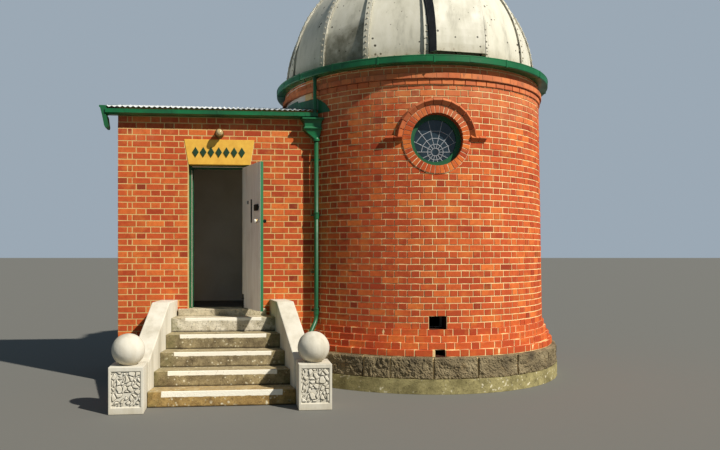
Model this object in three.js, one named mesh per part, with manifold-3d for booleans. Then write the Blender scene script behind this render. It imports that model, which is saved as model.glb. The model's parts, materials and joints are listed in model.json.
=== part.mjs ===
// A small brick observatory: a round tower with a turning dome, and a square entrance porch
// with five steps between splayed cheek walls. Millimetres, +Z up, the porch faces -Y, and the
// origin lies on the ground below the middle of the whole building.
import * as THREE from 'three';
import { mergeVertices } from 'three/addons/utils/BufferGeometryUtils.js';
import Module from 'manifold-3d';

const wasm = await Module();
wasm.setup();

// Driving dimensions
const SEAT = 0.3; // gap left between pieces that touch
const COURSE = 86; // one brick and its mortar bed
const WALL = 230; // one brick thick, porch and tower

const TOWER = new THREE.Vector2(1200, 335); // plan position of the tower's axis
const FOOTING_TOP = 190;
const PLINTH_TOP = 470;
const FLARE_COURSES = 4;
const FLARE_TOP = PLINTH_TOP + FLARE_COURSES * COURSE;
const FLARE_STEPS = [2190, 2145, 2105, 2075]; // radius of each flared course, lowest first
const FOOTING_RADIUS = 2270;
const PLINTH_RADIUS = 2250;
const TOWER_FOOT_RADIUS = 2050; // the wall leans in a little from here to its top
const TOWER_TOP_RADIUS = 1995;
const TOWER_INNER_RADIUS = TOWER_TOP_RADIUS - WALL + 5;
const LEDGE_RADIUS = TOWER_INNER_RADIUS - 115; // thicker wall below the floor
const TOWER_TOP = 4400;
const FLOOR_TOP = 1040;
const FLOOR_BOTTOM = 990;

const WINDOW_AZIMUTH = -4; // degrees from -Y towards +X, as all azimuths here
const WINDOW_HEIGHT = 3333;
const WINDOW_RADIUS = 350;
const WINDOW_RING_RADIUS = 460;
const WINDOW_FRAME_WIDTH = 62;
const HOOD_WIDTH = 55;
const HOOD_REACH = 690; // half length over the two returns
const HOOD_PROUD = 64;
const STRING_COURSE = { bottom: 4141, top: 4214, radius: 2042 };
const GUTTER = { bottom: 4328, top: 4425, radius: 2137 };

const DOME_SHIFT = -32; // the dome and its track sit a little off the tower's axis, along X
const DOME_CENTRE = 4500;
const DOME_CORNER_RADIUS = 1935; // across the ribs, at the springing
const DOME_RISE = 1905;
const DOME_SKIN = 30;
// The dome's seams. The slit's gore is the widest, and the rest are nearly even
const RIB_AZIMUTHS = [
  -6.7, 19, 43, 67.1, 91.1, 115.2, 139.2, 163.2, 187.3, 211.3, 235.4, 259.4, 283.5, 307.5, 328.9,
];
const DOME_GORES = RIB_AZIMUTHS.length;
const DOME_BOTTOM = 4470;
const RIB_WIDTH = 80;
const RIB_PROUD = 22;
const SHUTTER_AZIMUTH = 6.15;
const SLIT_HALF = 330;
const SLIT_FROM = 6; // degrees above the springing, over the top
const SLIT_TO = 97;
const RAIL = { inner: 345, outer: 405, radius: 1925 };
const SHUTTER_FROM = 0;
const SHUTTER_TO = 99;
const RAIL_TO = 178;
const SHUTTER_SEGMENTS = 120;

const FRONT = -795; // the porch's front face
const PORCH_LEFT = -3235;
const PORCH_BACK = FRONT + 1730;
const DOOR_LEFT = -2262; // the opening in the brickwork
const DOOR_RIGHT = -1397;
const LINTEL = { bottom: 3073, top: 3428, flare: 63, proud: 6 };
const ROOF_PITCH = 12.6;
const ROOF_EDGE = { y: FRONT - 50, z: 3852 };
const ROOF_THICK = 20;
const ROOF_LEFT = PORCH_LEFT - 150;
const VERGE = { cap: 85, capThick: 25, thick: 30, depth: 105 };
const EAVES_GUTTER = { bottom: 3740, top: 3812, reach: 140, right: -440 };
const OUTLET = new THREE.Vector2(-515, FRONT - 75); // from the eaves gutter into the rainwater head
const PIPE = new THREE.Vector2(-463, FRONT - 123);
const PIPE_FOOT = new THREE.Vector2(-620, FRONT - 330);
const HEAD = { left: -670, right: -360, bottom: 3430, top: 3735, depth: 185 };
const VENT_WIDTH = 225;
const LOW_VENT_WIDTH = 125;

const STEPS_X = -1765;
const STEPS_HALF = 645; // half width against the porch
const STEPS_SPLAY = 0.157; // widening towards the front
const STEP_COUNT = 5;
const GOING = 280;
const LANDING_TOP = 945;
const RISE = LANDING_TOP / STEP_COUNT;
const FLIGHT_FRONT = 1500; // from the porch to the first riser
const CHEEK = { thick: 235, top: 1165, level: 450, foot: 530, reach: 1420 };
const PEDESTAL = { width: 390, height: 535, offset: 1080 };
const BALL_RADIUS = 190;

const SILL = { left: -2400, right: -1170, reach: 90 }; // the threshold before the doorway
const JAMB = 45;
const FRAME_FRONT = FRONT + 100;
const LEAF_GAP = 5;
const LEAF_THICK = 44;
const LEAF_OPEN = 107; // degrees from closed, as it stands
const LEAF_FRONT = FRAME_FRONT + 4; // the leaf's outer face when it is closed
const HINGE = new THREE.Vector2(DOOR_RIGHT - JAMB - 2.5, FRAME_FRONT - 14);
const HINGE_HEIGHTS = [1300, 2020, 2740];
const KNUCKLE = { radius: 9, half: 45 };
const DOWNPIPE_RADIUS = 31;
const DROPPER_RADIUS = 25;

const BRICK = { color: 0xc2562f, roughness: 0.9 };
const BLUESTONE = { color: 0x5b5752, roughness: 0.95 };
const CONCRETE = { color: 0x9c9484, roughness: 0.95 };
const RENDER = { color: 0xe8e2d4, roughness: 0.85 };
const DOME_PAINT = { color: 0xd9d6c8, roughness: 0.7 };
const GREEN = { color: 0x1f6b44, roughness: 0.5 };
const STEEL = { color: 0x8d9194, roughness: 0.45, metalness: 0.8 };

const building = new THREE.Group();

const radians = (degrees) => THREE.MathUtils.degToRad(degrees);

// Closed meshes become solids once only their shared corners are left
function solid(geometry) {
  const bare = geometry.clone();
  for (const name of Object.keys(bare.attributes)) {
    if (name !== 'position') bare.deleteAttribute(name);
  }
  const merged = mergeVertices(bare, 1e-3);
  const vertices = new Float32Array(merged.attributes.position.array);
  const corners = Array.from(merged.index.array);
  const used = [];
  for (let i = 0; i < corners.length; i += 3) {
    const [a, b, c] = corners.slice(i, i + 3);
    if (a !== b && b !== c && c !== a) used.push(a, b, c);
  }
  const body = solidFrom(vertices, used);
  return body.volume() > 0 ? body : solidFrom(vertices, used.reverse());
}

function solidFrom(vertices, corners) {
  const triVerts = new Uint32Array(corners);
  return new wasm.Manifold(new wasm.Mesh({ numProp: 3, vertProperties: vertices, triVerts }));
}

function geometryOf(body) {
  const mesh = body.getMesh();
  const geometry = new THREE.BufferGeometry();
  geometry.setAttribute('position', new THREE.BufferAttribute(mesh.vertProperties, 3));
  geometry.setIndex(new THREE.BufferAttribute(mesh.triVerts, 1));
  geometry.computeVertexNormals();
  return geometry;
}

function add(name, body, look, group = building) {
  const material = new THREE.MeshStandardMaterial({ metalness: 0, ...look });
  const mesh = new THREE.Mesh(geometryOf(body), material);
  mesh.name = name;
  group.add(mesh);
  return mesh;
}

function box(x0, x1, y0, y1, z0, z1) {
  const geometry = new THREE.BoxGeometry(x1 - x0, y1 - y0, z1 - z0);
  geometry.translate((x0 + x1) / 2, (y0 + y1) / 2, (z0 + z1) / 2);
  return solid(geometry);
}

function extrude(points, depth) {
  const shape = new THREE.Shape(points.map(([u, v]) => new THREE.Vector2(u, v)));
  return new THREE.ExtrudeGeometry(shape, { depth, bevelEnabled: false });
}

// Plan outline between two heights
function prism(points, z0, z1) {
  return solid(extrude(points, z1 - z0).translate(0, 0, z0));
}

// Outline in x and z, between two depths
function prismAlongY(points, y0, y1) {
  return solid(extrude(points, y1 - y0).rotateX(Math.PI / 2).translate(0, y1, 0));
}

// Outline in y and z, between two sides
function prismAlongX(points, x0, x1) {
  const geometry = extrude(points, x1 - x0);
  geometry.rotateY(Math.PI / 2).rotateX(Math.PI / 2).translate(x0, 0, 0);
  return solid(geometry);
}

const ROUND_SEGMENTS = 60;

// Closed outline of radius and height, turned about the tower's axis
function turned(profile) {
  const points = profile.map(([r, z]) => new THREE.Vector2(r, z));
  const geometry = new THREE.LatheGeometry(points, ROUND_SEGMENTS);
  geometry.rotateX(Math.PI / 2).translate(TOWER.x, TOWER.y, 0);
  return solid(geometry);
}

const closed = (profile) => [...profile, profile[0]];

const rectangle = (r0, r1, z0, z1) =>
  closed([[r0, z0], [r1, z0], [r1, z1], [r0, z1]]);

function direction(azimuth) {
  return new THREE.Vector2(Math.sin(radians(azimuth)), -Math.cos(radians(azimuth)));
}

// All the space around the tower's axis between two azimuths
function wedge(from, to, reach = 4000, top = 8000) {
  const points = [[TOWER.x, TOWER.y]];
  const parts = Math.ceil((to - from) / 25);
  for (let i = 0; i <= parts; i += 1) {
    const d = direction(from + ((to - from) * i) / parts);
    points.push([TOWER.x + reach * d.x, TOWER.y + reach * d.y]);
  }
  return prism(points, -100, top);
}

// A body made around the origin with +Z out of the wall is stood at an azimuth and a height
function stood(geometry, azimuth, radius, height) {
  const d = direction(azimuth);
  geometry.rotateX(Math.PI / 2).rotateZ(radians(azimuth));
  geometry.translate(TOWER.x + radius * d.x, TOWER.y + radius * d.y, height);
  return solid(geometry);
}

const towerRadius = (z) =>
  TOWER_FOOT_RADIUS +
  ((TOWER_TOP_RADIUS - TOWER_FOOT_RADIUS) * (z - FLARE_TOP)) / (TOWER_TOP - FLARE_TOP);

// The outside of the tower with the seat gap added, which its neighbours are cut to
function towerEnvelope() {
  const profile = [[0, -50], [FOOTING_RADIUS + SEAT, -50], [FOOTING_RADIUS + SEAT, FOOTING_TOP]];
  profile.push([PLINTH_RADIUS + SEAT, FOOTING_TOP], [PLINTH_RADIUS + SEAT, PLINTH_TOP + SEAT]);
  FLARE_STEPS.forEach((radius, i) => {
    const z = PLINTH_TOP + i * COURSE + SEAT;
    profile.push([radius + SEAT, z], [radius + SEAT, z + COURSE]);
  });
  profile.push([TOWER_FOOT_RADIUS + SEAT, FLARE_TOP + SEAT]);
  profile.push([TOWER_TOP_RADIUS + SEAT, TOWER_TOP], [0, TOWER_TOP]);
  return turned(profile);
}
const outsideTower = towerEnvelope();

// Tower: footing, plinth and flared courses
add('tower_footing', turned(rectangle(LEDGE_RADIUS, FOOTING_RADIUS, 0, FOOTING_TOP)), CONCRETE);
add(
  'tower_plinth',
  turned(rectangle(LEDGE_RADIUS, PLINTH_RADIUS, FOOTING_TOP + SEAT, PLINTH_TOP)),
  BLUESTONE,
);

const vent = (width, z0, z1) => {
  const geometry = new THREE.BoxGeometry(width, z1 - z0, 900);
  return stood(geometry, WINDOW_AZIMUTH, 2000, (z0 + z1) / 2);
};

function baseCourses() {
  const profile = [[LEDGE_RADIUS, PLINTH_TOP + SEAT]];
  FLARE_STEPS.forEach((radius, i) => {
    const z = PLINTH_TOP + i * COURSE + (i === 0 ? SEAT : 0);
    profile.push([radius, z], [radius, PLINTH_TOP + (i + 1) * COURSE]);
  });
  profile.push([LEDGE_RADIUS, FLARE_TOP]);
  const lowVent = vent(LOW_VENT_WIDTH, PLINTH_TOP + 12, PLINTH_TOP + COURSE);
  return turned(closed(profile)).subtract(lowVent);
}
add('tower_base_courses', baseCourses(), BRICK);

// Tower: the wall in six pieces, with the window, the vent and the way in from the porch
const WALL_PIECES = {
  tower_wall_left: [-104, -58],
  tower_wall_front: [-58, 18],
  tower_wall_right_front: [18, 77.5],
  tower_wall_right_back: [77.5, 137],
  tower_wall_back: [137, 196.5],
  tower_wall_left_back: [196.5, 256],
};
const INNER_DOOR = { azimuth: -81, width: 800, height: 2000 };

const wallRing = turned(closed([
  [LEDGE_RADIUS, FLARE_TOP + SEAT],
  [TOWER_FOOT_RADIUS, FLARE_TOP + SEAT],
  [TOWER_TOP_RADIUS, TOWER_TOP],
  [TOWER_INNER_RADIUS, TOWER_TOP],
  [TOWER_INNER_RADIUS, FLOOR_BOTTOM],
  [LEDGE_RADIUS, FLOOR_BOTTOM],
]));

const bore = (radius, length, centre = 1900) => {
  const geometry = new THREE.CylinderGeometry(radius, radius, length, 32);
  geometry.rotateX(Math.PI / 2);
  return stood(geometry, WINDOW_AZIMUTH, centre, WINDOW_HEIGHT);
};

const innerDoorway = stood(
  new THREE.BoxGeometry(INNER_DOOR.width, INNER_DOOR.height, 900),
  INNER_DOOR.azimuth,
  1900,
  FLOOR_TOP + INNER_DOOR.height / 2,
);
const wallCuts = bore(WINDOW_RING_RADIUS + SEAT, 800)
  .add(vent(VENT_WIDTH, FLARE_TOP, FLARE_TOP + 2 * COURSE))
  .add(innerDoorway);
const slack = THREE.MathUtils.radToDeg(SEAT / 2 / LEDGE_RADIUS);
for (const [name, [from, to]] of Object.entries(WALL_PIECES)) {
  const piece = wallRing.intersect(wedge(from + slack, to - slack)).subtract(wallCuts);
  add(name, piece, BRICK);
}

// Round window: brick ring, hood mould, frame and glass
function wallBand(inner, outer, z0, z1) {
  return turned(closed([
    [inner, z0],
    [towerRadius(z0) + outer, z0],
    [towerRadius(z1) + outer, z1],
    [inner, z1],
  ]));
}

const ringBand = wallBand(TOWER_INNER_RADIUS, 12, WINDOW_HEIGHT - 600, WINDOW_HEIGHT + 600);
const windowRing = bore(WINDOW_RING_RADIUS, 800).subtract(bore(WINDOW_RADIUS, 900));
add('window_ring', windowRing.intersect(ringBand), BRICK);

function hoodOutline() {
  const inner = WINDOW_RING_RADIUS + SEAT;
  const outer = inner + HOOD_WIDTH;
  const half = HOOD_WIDTH / 2;
  const spring = Math.asin(half / outer);
  const foot = Math.asin(half / inner);
  const shape = new THREE.Shape();
  shape.absarc(0, 0, outer, spring, Math.PI - spring, false);
  shape.lineTo(-HOOD_REACH, half);
  shape.lineTo(-HOOD_REACH, -half);
  shape.absarc(0, 0, inner, Math.PI + foot, -foot, true);
  shape.lineTo(HOOD_REACH, -half);
  shape.lineTo(HOOD_REACH, half);
  return shape;
}

function hoodMould() {
  const depth = 600;
  const geometry = new THREE.ExtrudeGeometry(hoodOutline(), {
    depth,
    curveSegments: 14,
    bevelEnabled: false,
  });
  geometry.translate(0, 0, -depth / 2);
  const bars = stood(geometry, WINDOW_AZIMUTH, 2000, WINDOW_HEIGHT);
  const low = WINDOW_HEIGHT - 200;
  const high = WINDOW_HEIGHT + 700;
  const skin = wallBand(1700, HOOD_PROUD, low, high).subtract(wallBand(1600, SEAT, low - 9, high + 9));
  return bars.intersect(skin).subtract(bore(WINDOW_RING_RADIUS + SEAT, 900));
}
add('hood_mould', hoodMould(), BRICK);

const FRAME_CENTRE = 1870;
const frameOuter = bore(WINDOW_RADIUS - SEAT, 64, FRAME_CENTRE);
const glassRadius = WINDOW_RADIUS - WINDOW_FRAME_WIDTH;
add('window_frame', frameOuter.subtract(bore(glassRadius, 200, FRAME_CENTRE)), GREEN);
add('window_glass', bore(glassRadius - SEAT, 8, FRAME_CENTRE), {
  color: 0x22343a,
  roughness: 0.15,
});

function ringGutter() {
  const back = towerRadius(GUTTER.bottom) + SEAT;
  const sheet = 6;
  return turned(closed([
    [back, GUTTER.top],
    [back, GUTTER.bottom],
    [GUTTER.radius - 16, GUTTER.bottom],
    [GUTTER.radius, GUTTER.bottom + 14],
    [GUTTER.radius, GUTTER.top],
    [GUTTER.radius - sheet, GUTTER.top],
    [GUTTER.radius - sheet, GUTTER.bottom + 18],
    [GUTTER.radius - 19, GUTTER.bottom + sheet],
    [back + sheet, GUTTER.bottom + sheet],
    [back + sheet, GUTTER.top],
  ]));
}
add('ring_gutter', ringGutter(), GREEN);

const DROPPER = new THREE.Vector2(-477, FRONT - 80);
const dropper = new THREE.CylinderGeometry(DROPPER_RADIUS, DROPPER_RADIUS, 1, 12);
function uprightPipe(geometry, place, z0, z1) {
  const pipe = geometry.clone().rotateX(Math.PI / 2).scale(1, 1, z1 - z0);
  return solid(pipe.translate(place.x, place.y, (z0 + z1) / 2));
}
add('gutter_dropper', uprightPipe(dropper, DROPPER, EAVES_GUTTER.top - 32, GUTTER.bottom - SEAT), GREEN);

add(
  'tower_floor',
  turned([[0, FLOOR_BOTTOM + SEAT], [TOWER_INNER_RADIUS - 3, FLOOR_BOTTOM + SEAT],
    [TOWER_INNER_RADIUS - 3, FLOOR_TOP], [0, FLOOR_TOP]]),
  { color: 0x6d665c, roughness: 0.9 },
);

// The dome turns on rollers set in a ring on the wall head
const ROLLER_RADIUS = 15;
const ROLLER_COUNT = 8;
const ROLLER_CENTRE_RADIUS = 1875;
function rollerTrack() {
  let ring = turned(rectangle(1840, 1910, TOWER_TOP + SEAT, TOWER_TOP + 12));
  for (let i = 0; i < ROLLER_COUNT; i += 1) {
    const roller = new THREE.CylinderGeometry(ROLLER_RADIUS, ROLLER_RADIUS, 40, 12);
    roller.rotateX(Math.PI / 2);
    const height = TOWER_TOP + SEAT + ROLLER_RADIUS;
    ring = ring.add(stood(roller, (360 / ROLLER_COUNT) * i, ROLLER_CENTRE_RADIUS, height));
  }
  return ring;
}
const onTrack = (body) => body.translate([DOME_SHIFT, 0, 0]);
add('roller_track', onTrack(rollerTrack()), STEEL);

const DOME_SEAT = TOWER_TOP + 2 * ROLLER_RADIUS + 2 * SEAT;
const dome = new THREE.Group();
building.add(dome);
add(
  'dome_base_ring',
  onTrack(turned(rectangle(1835, DOME_CORNER_RADIUS, DOME_SEAT, DOME_BOTTOM))),
  DOME_PAINT,
  dome,
);

// Outline of the dome from its foot to the top, inset by an amount
function domeProfile(inset, steps = 12) {
  const points = [[DOME_CORNER_RADIUS - inset, DOME_BOTTOM + SEAT]];
  for (let i = 0; i <= steps; i += 1) {
    const angle = (Math.PI / 2) * (i / steps);
    const radius = i === steps ? 0 : (DOME_CORNER_RADIUS - inset) * Math.cos(angle);
    points.push([radius, DOME_CENTRE + (DOME_RISE - inset) * Math.sin(angle)]);
  }
  return points;
}

const ribAzimuth = (i) =>
  RIB_AZIMUTHS[(i + DOME_GORES) % DOME_GORES] + 360 * Math.floor(i / DOME_GORES);

// Closed outline of radius and height, with its flat faces between the seams
function gored(profile) {
  const points = profile.map(([r, z]) => new THREE.Vector2(r, z));
  const geometry = new THREE.LatheGeometry(points, DOME_GORES);
  const place = geometry.attributes.position;
  for (let i = 0; i < place.count; i += 1) {
    const point = points[i % points.length];
    const d = direction(RIB_AZIMUTHS[Math.floor(i / points.length) % DOME_GORES]);
    place.setXYZ(i, TOWER.x + point.x * d.x, TOWER.y + point.x * d.y, point.y);
  }
  return solid(geometry);
}

const shell = gored([...domeProfile(DOME_SKIN).reverse(), ...domeProfile(0)]);

// A slab that lies in the plane of the slit, between two angles over the dome's top
function slitSector(from, to, half, offset = 0) {
  const reach = 4200;
  const points = [[0, 0]];
  const parts = Math.ceil((to - from) / 45);
  for (let i = 0; i <= parts; i += 1) {
    const angle = radians(from + ((to - from) * i) / parts);
    points.push([reach * Math.cos(angle), reach * Math.sin(angle)]);
  }
  const geometry = extrude(points, 2 * half).translate(0, 0, offset - half);
  return inSlitPlane(geometry);
}

// Local x runs out at the shutter's azimuth, y runs up and z across the slit
function inSlitPlane(geometry) {
  geometry.rotateX(Math.PI / 2).rotateZ(radians(SHUTTER_AZIMUTH - 90));
  geometry.translate(TOWER.x, TOWER.y, DOME_CENTRE);
  return solid(geometry);
}

function ribs() {
  const outer = domeProfile(-RIB_PROUD);
  const inner = domeProfile(DOME_SKIN / 2).reverse();
  const outline = [...outer, ...inner];
  let all = null;
  for (let i = 0; i < DOME_GORES; i += 1) {
    const geometry = extrude(outline, RIB_WIDTH).translate(0, 0, -RIB_WIDTH / 2);
    geometry.rotateX(Math.PI / 2).rotateZ(radians(ribAzimuth(i) - 90));
    geometry.translate(TOWER.x, TOWER.y, 0);
    const rib = solid(geometry);
    all = all ? all.add(rib) : rib;
  }
  return all.subtract(slitSector(-40, 220, RAIL.outer + 10));
}

const ribbedShell = shell.add(ribs()).subtract(slitSector(SLIT_FROM, SLIT_TO, SLIT_HALF));
const DOME_PIECES = { dome_front: [-1, 2], dome_right: [2, 6], dome_back: [6, 10], dome_left: [10, 14] };
for (const [name, [from, to]] of Object.entries(DOME_PIECES)) {
  const margin = 0.005;
  const part = wedge(ribAzimuth(from) + margin, ribAzimuth(to) - margin);
  add(name, onTrack(ribbedShell.intersect(part)), DOME_PAINT, dome);
}

// Outline across the slit, as side and radius, swept over the top about the dome's centre
function overTheTop(outline, from, to) {
  const points = outline.map(([side, radius]) => new THREE.Vector2(radius, side));
  const geometry = new THREE.LatheGeometry(points, SHUTTER_SEGMENTS);
  geometry.rotateX(Math.PI / 2);
  return inSlitPlane(geometry).intersect(slitSector(from, to, 900));
}

const domeSolid = gored([[0, DOME_BOTTOM], ...domeProfile(-SEAT)]);
for (const [name, side] of [['slit_rail_left', -1], ['slit_rail_right', 1]]) {
  const outline = closed([
    [side * RAIL.inner, 1700],
    [side * RAIL.outer, 1700],
    [side * RAIL.outer, RAIL.radius],
    [side * RAIL.inner, RAIL.radius],
  ]);
  const rail = overTheTop(outline, SHUTTER_FROM, RAIL_TO).subtract(domeSolid);
  add(name, onTrack(rail), STEEL, dome);
}

// The shutter is a channel with canted sides that rides on both rails
const flat = Math.cos(Math.PI / SHUTTER_SEGMENTS);
const shutterSeat = (RAIL.radius + SEAT) / flat;
const SHUTTER_OUTLINE = [
  [-RAIL.outer, shutterSeat],
  [-RAIL.outer, 1938],
  [-348, 2030],
  [348, 2030],
  [RAIL.outer, 1938],
  [RAIL.outer, shutterSeat],
  [RAIL.inner, shutterSeat],
  [RAIL.inner, 1950],
  [318, 2008],
  [-318, 2008],
  [-RAIL.inner, 1950],
  [-RAIL.inner, shutterSeat],
];
const shutter = overTheTop(closed(SHUTTER_OUTLINE), SHUTTER_FROM, SHUTTER_TO);
add('shutter', onTrack(shutter), DOME_PAINT, dome);

// Porch: everything above the ground is cut to the roof's underside and to the tower
const roofSlope = Math.tan(radians(ROOF_PITCH));
const roofUnderside = (y) => ROOF_EDGE.z + (y - ROOF_EDGE.y) * roofSlope;
const aboveRoof = prismAlongX(
  [
    [FRONT - 900, roofUnderside(FRONT - 900) - SEAT],
    [PORCH_BACK + 900, roofUnderside(PORCH_BACK + 900) - SEAT],
    [PORCH_BACK + 900, 9000],
    [FRONT - 900, 9000],
  ],
  -6000,
  6000,
);
const WALL_REACH = 4600;
const PORCH_RIGHT = TOWER.x;
const trimmed = (body) => body.subtract(aboveRoof).subtract(outsideTower);

const halfDoor = (DOOR_LEFT + DOOR_RIGHT) / 2;
const frontLeft = [
  [PORCH_LEFT, PLINTH_TOP + SEAT],
  [halfDoor - SEAT, PLINTH_TOP + SEAT],
  [halfDoor - SEAT, LANDING_TOP - SEAT],
  [DOOR_LEFT, LANDING_TOP - SEAT],
  [DOOR_LEFT, LINTEL.bottom],
  [DOOR_LEFT - LINTEL.flare, LINTEL.top],
  [DOOR_LEFT - LINTEL.flare, WALL_REACH],
  [PORCH_LEFT, WALL_REACH],
];
const frontRight = [
  [PORCH_RIGHT, PLINTH_TOP + SEAT],
  [halfDoor, PLINTH_TOP + SEAT],
  [halfDoor, LANDING_TOP - SEAT],
  [DOOR_RIGHT, LANDING_TOP - SEAT],
  [DOOR_RIGHT, LINTEL.bottom],
  [DOOR_RIGHT + LINTEL.flare, LINTEL.top],
  [DOOR_RIGHT + LINTEL.flare, WALL_REACH],
  [PORCH_RIGHT, WALL_REACH],
];
add('porch_front_wall_left', trimmed(prismAlongY(frontLeft, FRONT, FRONT + WALL)), BRICK);
add('porch_front_wall_right', trimmed(prismAlongY(frontRight, FRONT, FRONT + WALL)), BRICK);
add(
  'porch_front_wall_top',
  trimmed(box(
    DOOR_LEFT - LINTEL.flare + SEAT,
    DOOR_RIGHT + LINTEL.flare - SEAT,
    FRONT,
    FRONT + WALL,
    LINTEL.top + SEAT,
    WALL_REACH,
  )),
  BRICK,
);
add(
  'porch_lintel',
  prismAlongY(
    [
      [DOOR_LEFT + SEAT, LINTEL.bottom],
      [DOOR_RIGHT - SEAT, LINTEL.bottom],
      [DOOR_RIGHT + LINTEL.flare - 2 * SEAT, LINTEL.top],
      [DOOR_LEFT - LINTEL.flare + 2 * SEAT, LINTEL.top],
    ],
    FRONT - LINTEL.proud,
    FRONT + WALL,
  ),
  { color: 0xe6b23f, roughness: 0.7 },
);
const PORCH_INNER_BACK = PORCH_BACK - WALL;
add(
  'porch_left_wall',
  trimmed(box(
    PORCH_LEFT,
    PORCH_LEFT + WALL,
    FRONT + WALL + SEAT,
    PORCH_INNER_BACK - SEAT,
    PLINTH_TOP + SEAT,
    WALL_REACH,
  )),
  BRICK,
);
add(
  'porch_back_wall',
  trimmed(box(
    PORCH_LEFT,
    PORCH_RIGHT,
    PORCH_INNER_BACK,
    PORCH_BACK,
    PLINTH_TOP + SEAT,
    WALL_REACH,
  )),
  BRICK,
);

// The porch's stone base, with an inner ledge that carries the floor
function porchFooting() {
  const proud = 25;
  const ledge = 110;
  const outline = box(PORCH_LEFT - proud, TOWER.x, FRONT, PORCH_BACK + proud, 0, PLINTH_TOP);
  const hollow = box(
    PORCH_LEFT + WALL,
    TOWER.x + 1,
    FRONT + WALL,
    PORCH_INNER_BACK,
    -1,
    PLINTH_TOP + 1,
  );
  const inner = box(
    PORCH_LEFT + WALL + SEAT,
    TOWER.x,
    FRONT + WALL + SEAT,
    PORCH_INNER_BACK - SEAT,
    0,
    FLOOR_BOTTOM,
  );
  const core = box(
    PORCH_LEFT + WALL + ledge,
    TOWER.x + 1,
    FRONT + WALL + ledge,
    PORCH_INNER_BACK - ledge,
    -1,
    FLOOR_BOTTOM + 1,
  );
  const seat = box(
    PORCH_LEFT + WALL - 1,
    TOWER.x,
    FRONT + WALL - 1,
    PORCH_INNER_BACK + 1,
    0,
    PLINTH_TOP,
  );
  return outline.subtract(hollow).add(inner).add(seat).subtract(core).subtract(outsideTower);
}
add('porch_footing', porchFooting(), BLUESTONE);
add(
  'porch_floor',
  box(
    PORCH_LEFT + WALL + SEAT,
    TOWER.x,
    FRONT + WALL + SEAT,
    PORCH_INNER_BACK - SEAT,
    FLOOR_BOTTOM + SEAT,
    FLOOR_TOP,
  ).subtract(outsideTower),
  { color: 0x5d5a56, roughness: 0.9 },
);

// Porch roof, falling to the front, with its flashing against the tower
const roofTop = (y) => roofUnderside(y) + ROOF_THICK;
const ROOF_BACK = PORCH_BACK + 70;
add(
  'porch_roof',
  prismAlongX(
    [
      [ROOF_EDGE.y, roofUnderside(ROOF_EDGE.y)],
      [ROOF_BACK, roofUnderside(ROOF_BACK)],
      [ROOF_BACK, roofTop(ROOF_BACK)],
      [ROOF_EDGE.y, roofTop(ROOF_EDGE.y)],
    ],
    ROOF_LEFT,
    TOWER.x,
  ).subtract(outsideTower),
  { color: 0xc4c8c9, roughness: 0.5, metalness: 0.5 },
);

// The string course round the tower stops where the roof and the porch meet it
const string = rectangle(
  towerRadius(STRING_COURSE.bottom) + SEAT,
  STRING_COURSE.radius,
  STRING_COURSE.bottom,
  STRING_COURSE.top,
);
const roofZone = prismAlongX(
  [
    [ROOF_EDGE.y, EAVES_GUTTER.bottom],
    [ROOF_BACK + SEAT, EAVES_GUTTER.bottom],
    [ROOF_BACK + SEAT, roofTop(ROOF_BACK) + SEAT],
    [ROOF_EDGE.y, roofTop(ROOF_EDGE.y) + SEAT],
  ],
  ROOF_LEFT,
  TOWER.x,
);
add('string_course', turned(string).subtract(roofZone), BRICK);

const FLASHING = { thick: 10, top: STRING_COURSE.bottom - 50, stepAt: FRONT + 420 };
const FLASHING_FOOT = EAVES_GUTTER.top + 3;
const FLASHING_END = ROOF_EDGE.y + (FLASHING.top - 20 - roofTop(ROOF_EDGE.y)) / roofSlope;
function roofFlashing() {
  const band = wallBand(1600, FLASHING.thick, 3600, 4380).subtract(wallBand(1500, SEAT, 3590, 4390));
  const from = ROOF_EDGE.y + SEAT;
  const before = ROOF_EDGE.y - SEAT;
  const slab = prismAlongX(
    [
      [before, roofTop(from) + SEAT],
      [from, roofTop(from) + SEAT],
      [FLASHING_END, roofTop(FLASHING_END) + SEAT],
      [FLASHING_END, FLASHING.top],
      [FLASHING.stepAt, FLASHING.top],
      [FLASHING.stepAt, FLASHING_FOOT + 245],
      [FRONT - 25, FLASHING_FOOT + 220],
      [FRONT - 155, FLASHING_FOOT + 130],
      [FRONT - 215, FLASHING_FOOT + 35],
      [FRONT - 225, FLASHING_FOOT],
      [before, FLASHING_FOOT],
    ],
    PORCH_LEFT,
    TOWER.x,
  );
  return band.intersect(slab);
}
add('roof_flashing', roofFlashing(), GREEN);

// The board along the roof's left edge has a cap on top and ends in a leaning tail at the front
function vergeBoard() {
  const front = FRONT - 125;
  const side = ROOF_LEFT - SEAT;
  const strip = (depth, x) =>
    prismAlongX(
      [
        [ROOF_BACK, roofTop(ROOF_BACK)],
        [ROOF_BACK, roofTop(ROOF_BACK) - depth],
        [front, roofTop(front) - depth],
        [front, roofTop(front)],
      ],
      x,
      side,
    );
  const outer = ROOF_LEFT - VERGE.cap;
  const tail = prismAlongY(
    [
      [outer, 3858],
      [outer + 15, 3822],
      [outer + 40, 3722],
      [outer + 68, 3580],
      [outer + 85, 3549],
      [outer + 110, 3549],
      [outer + 118, 3575],
      [outer + 98, 3722],
      [side, 3736],
      [side, 3858],
    ],
    front,
    FRONT + 70,
  );
  return strip(VERGE.depth, side - VERGE.thick).add(strip(VERGE.capThick, outer)).add(tail);
}
add('verge_board', vergeBoard(), GREEN);

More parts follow.
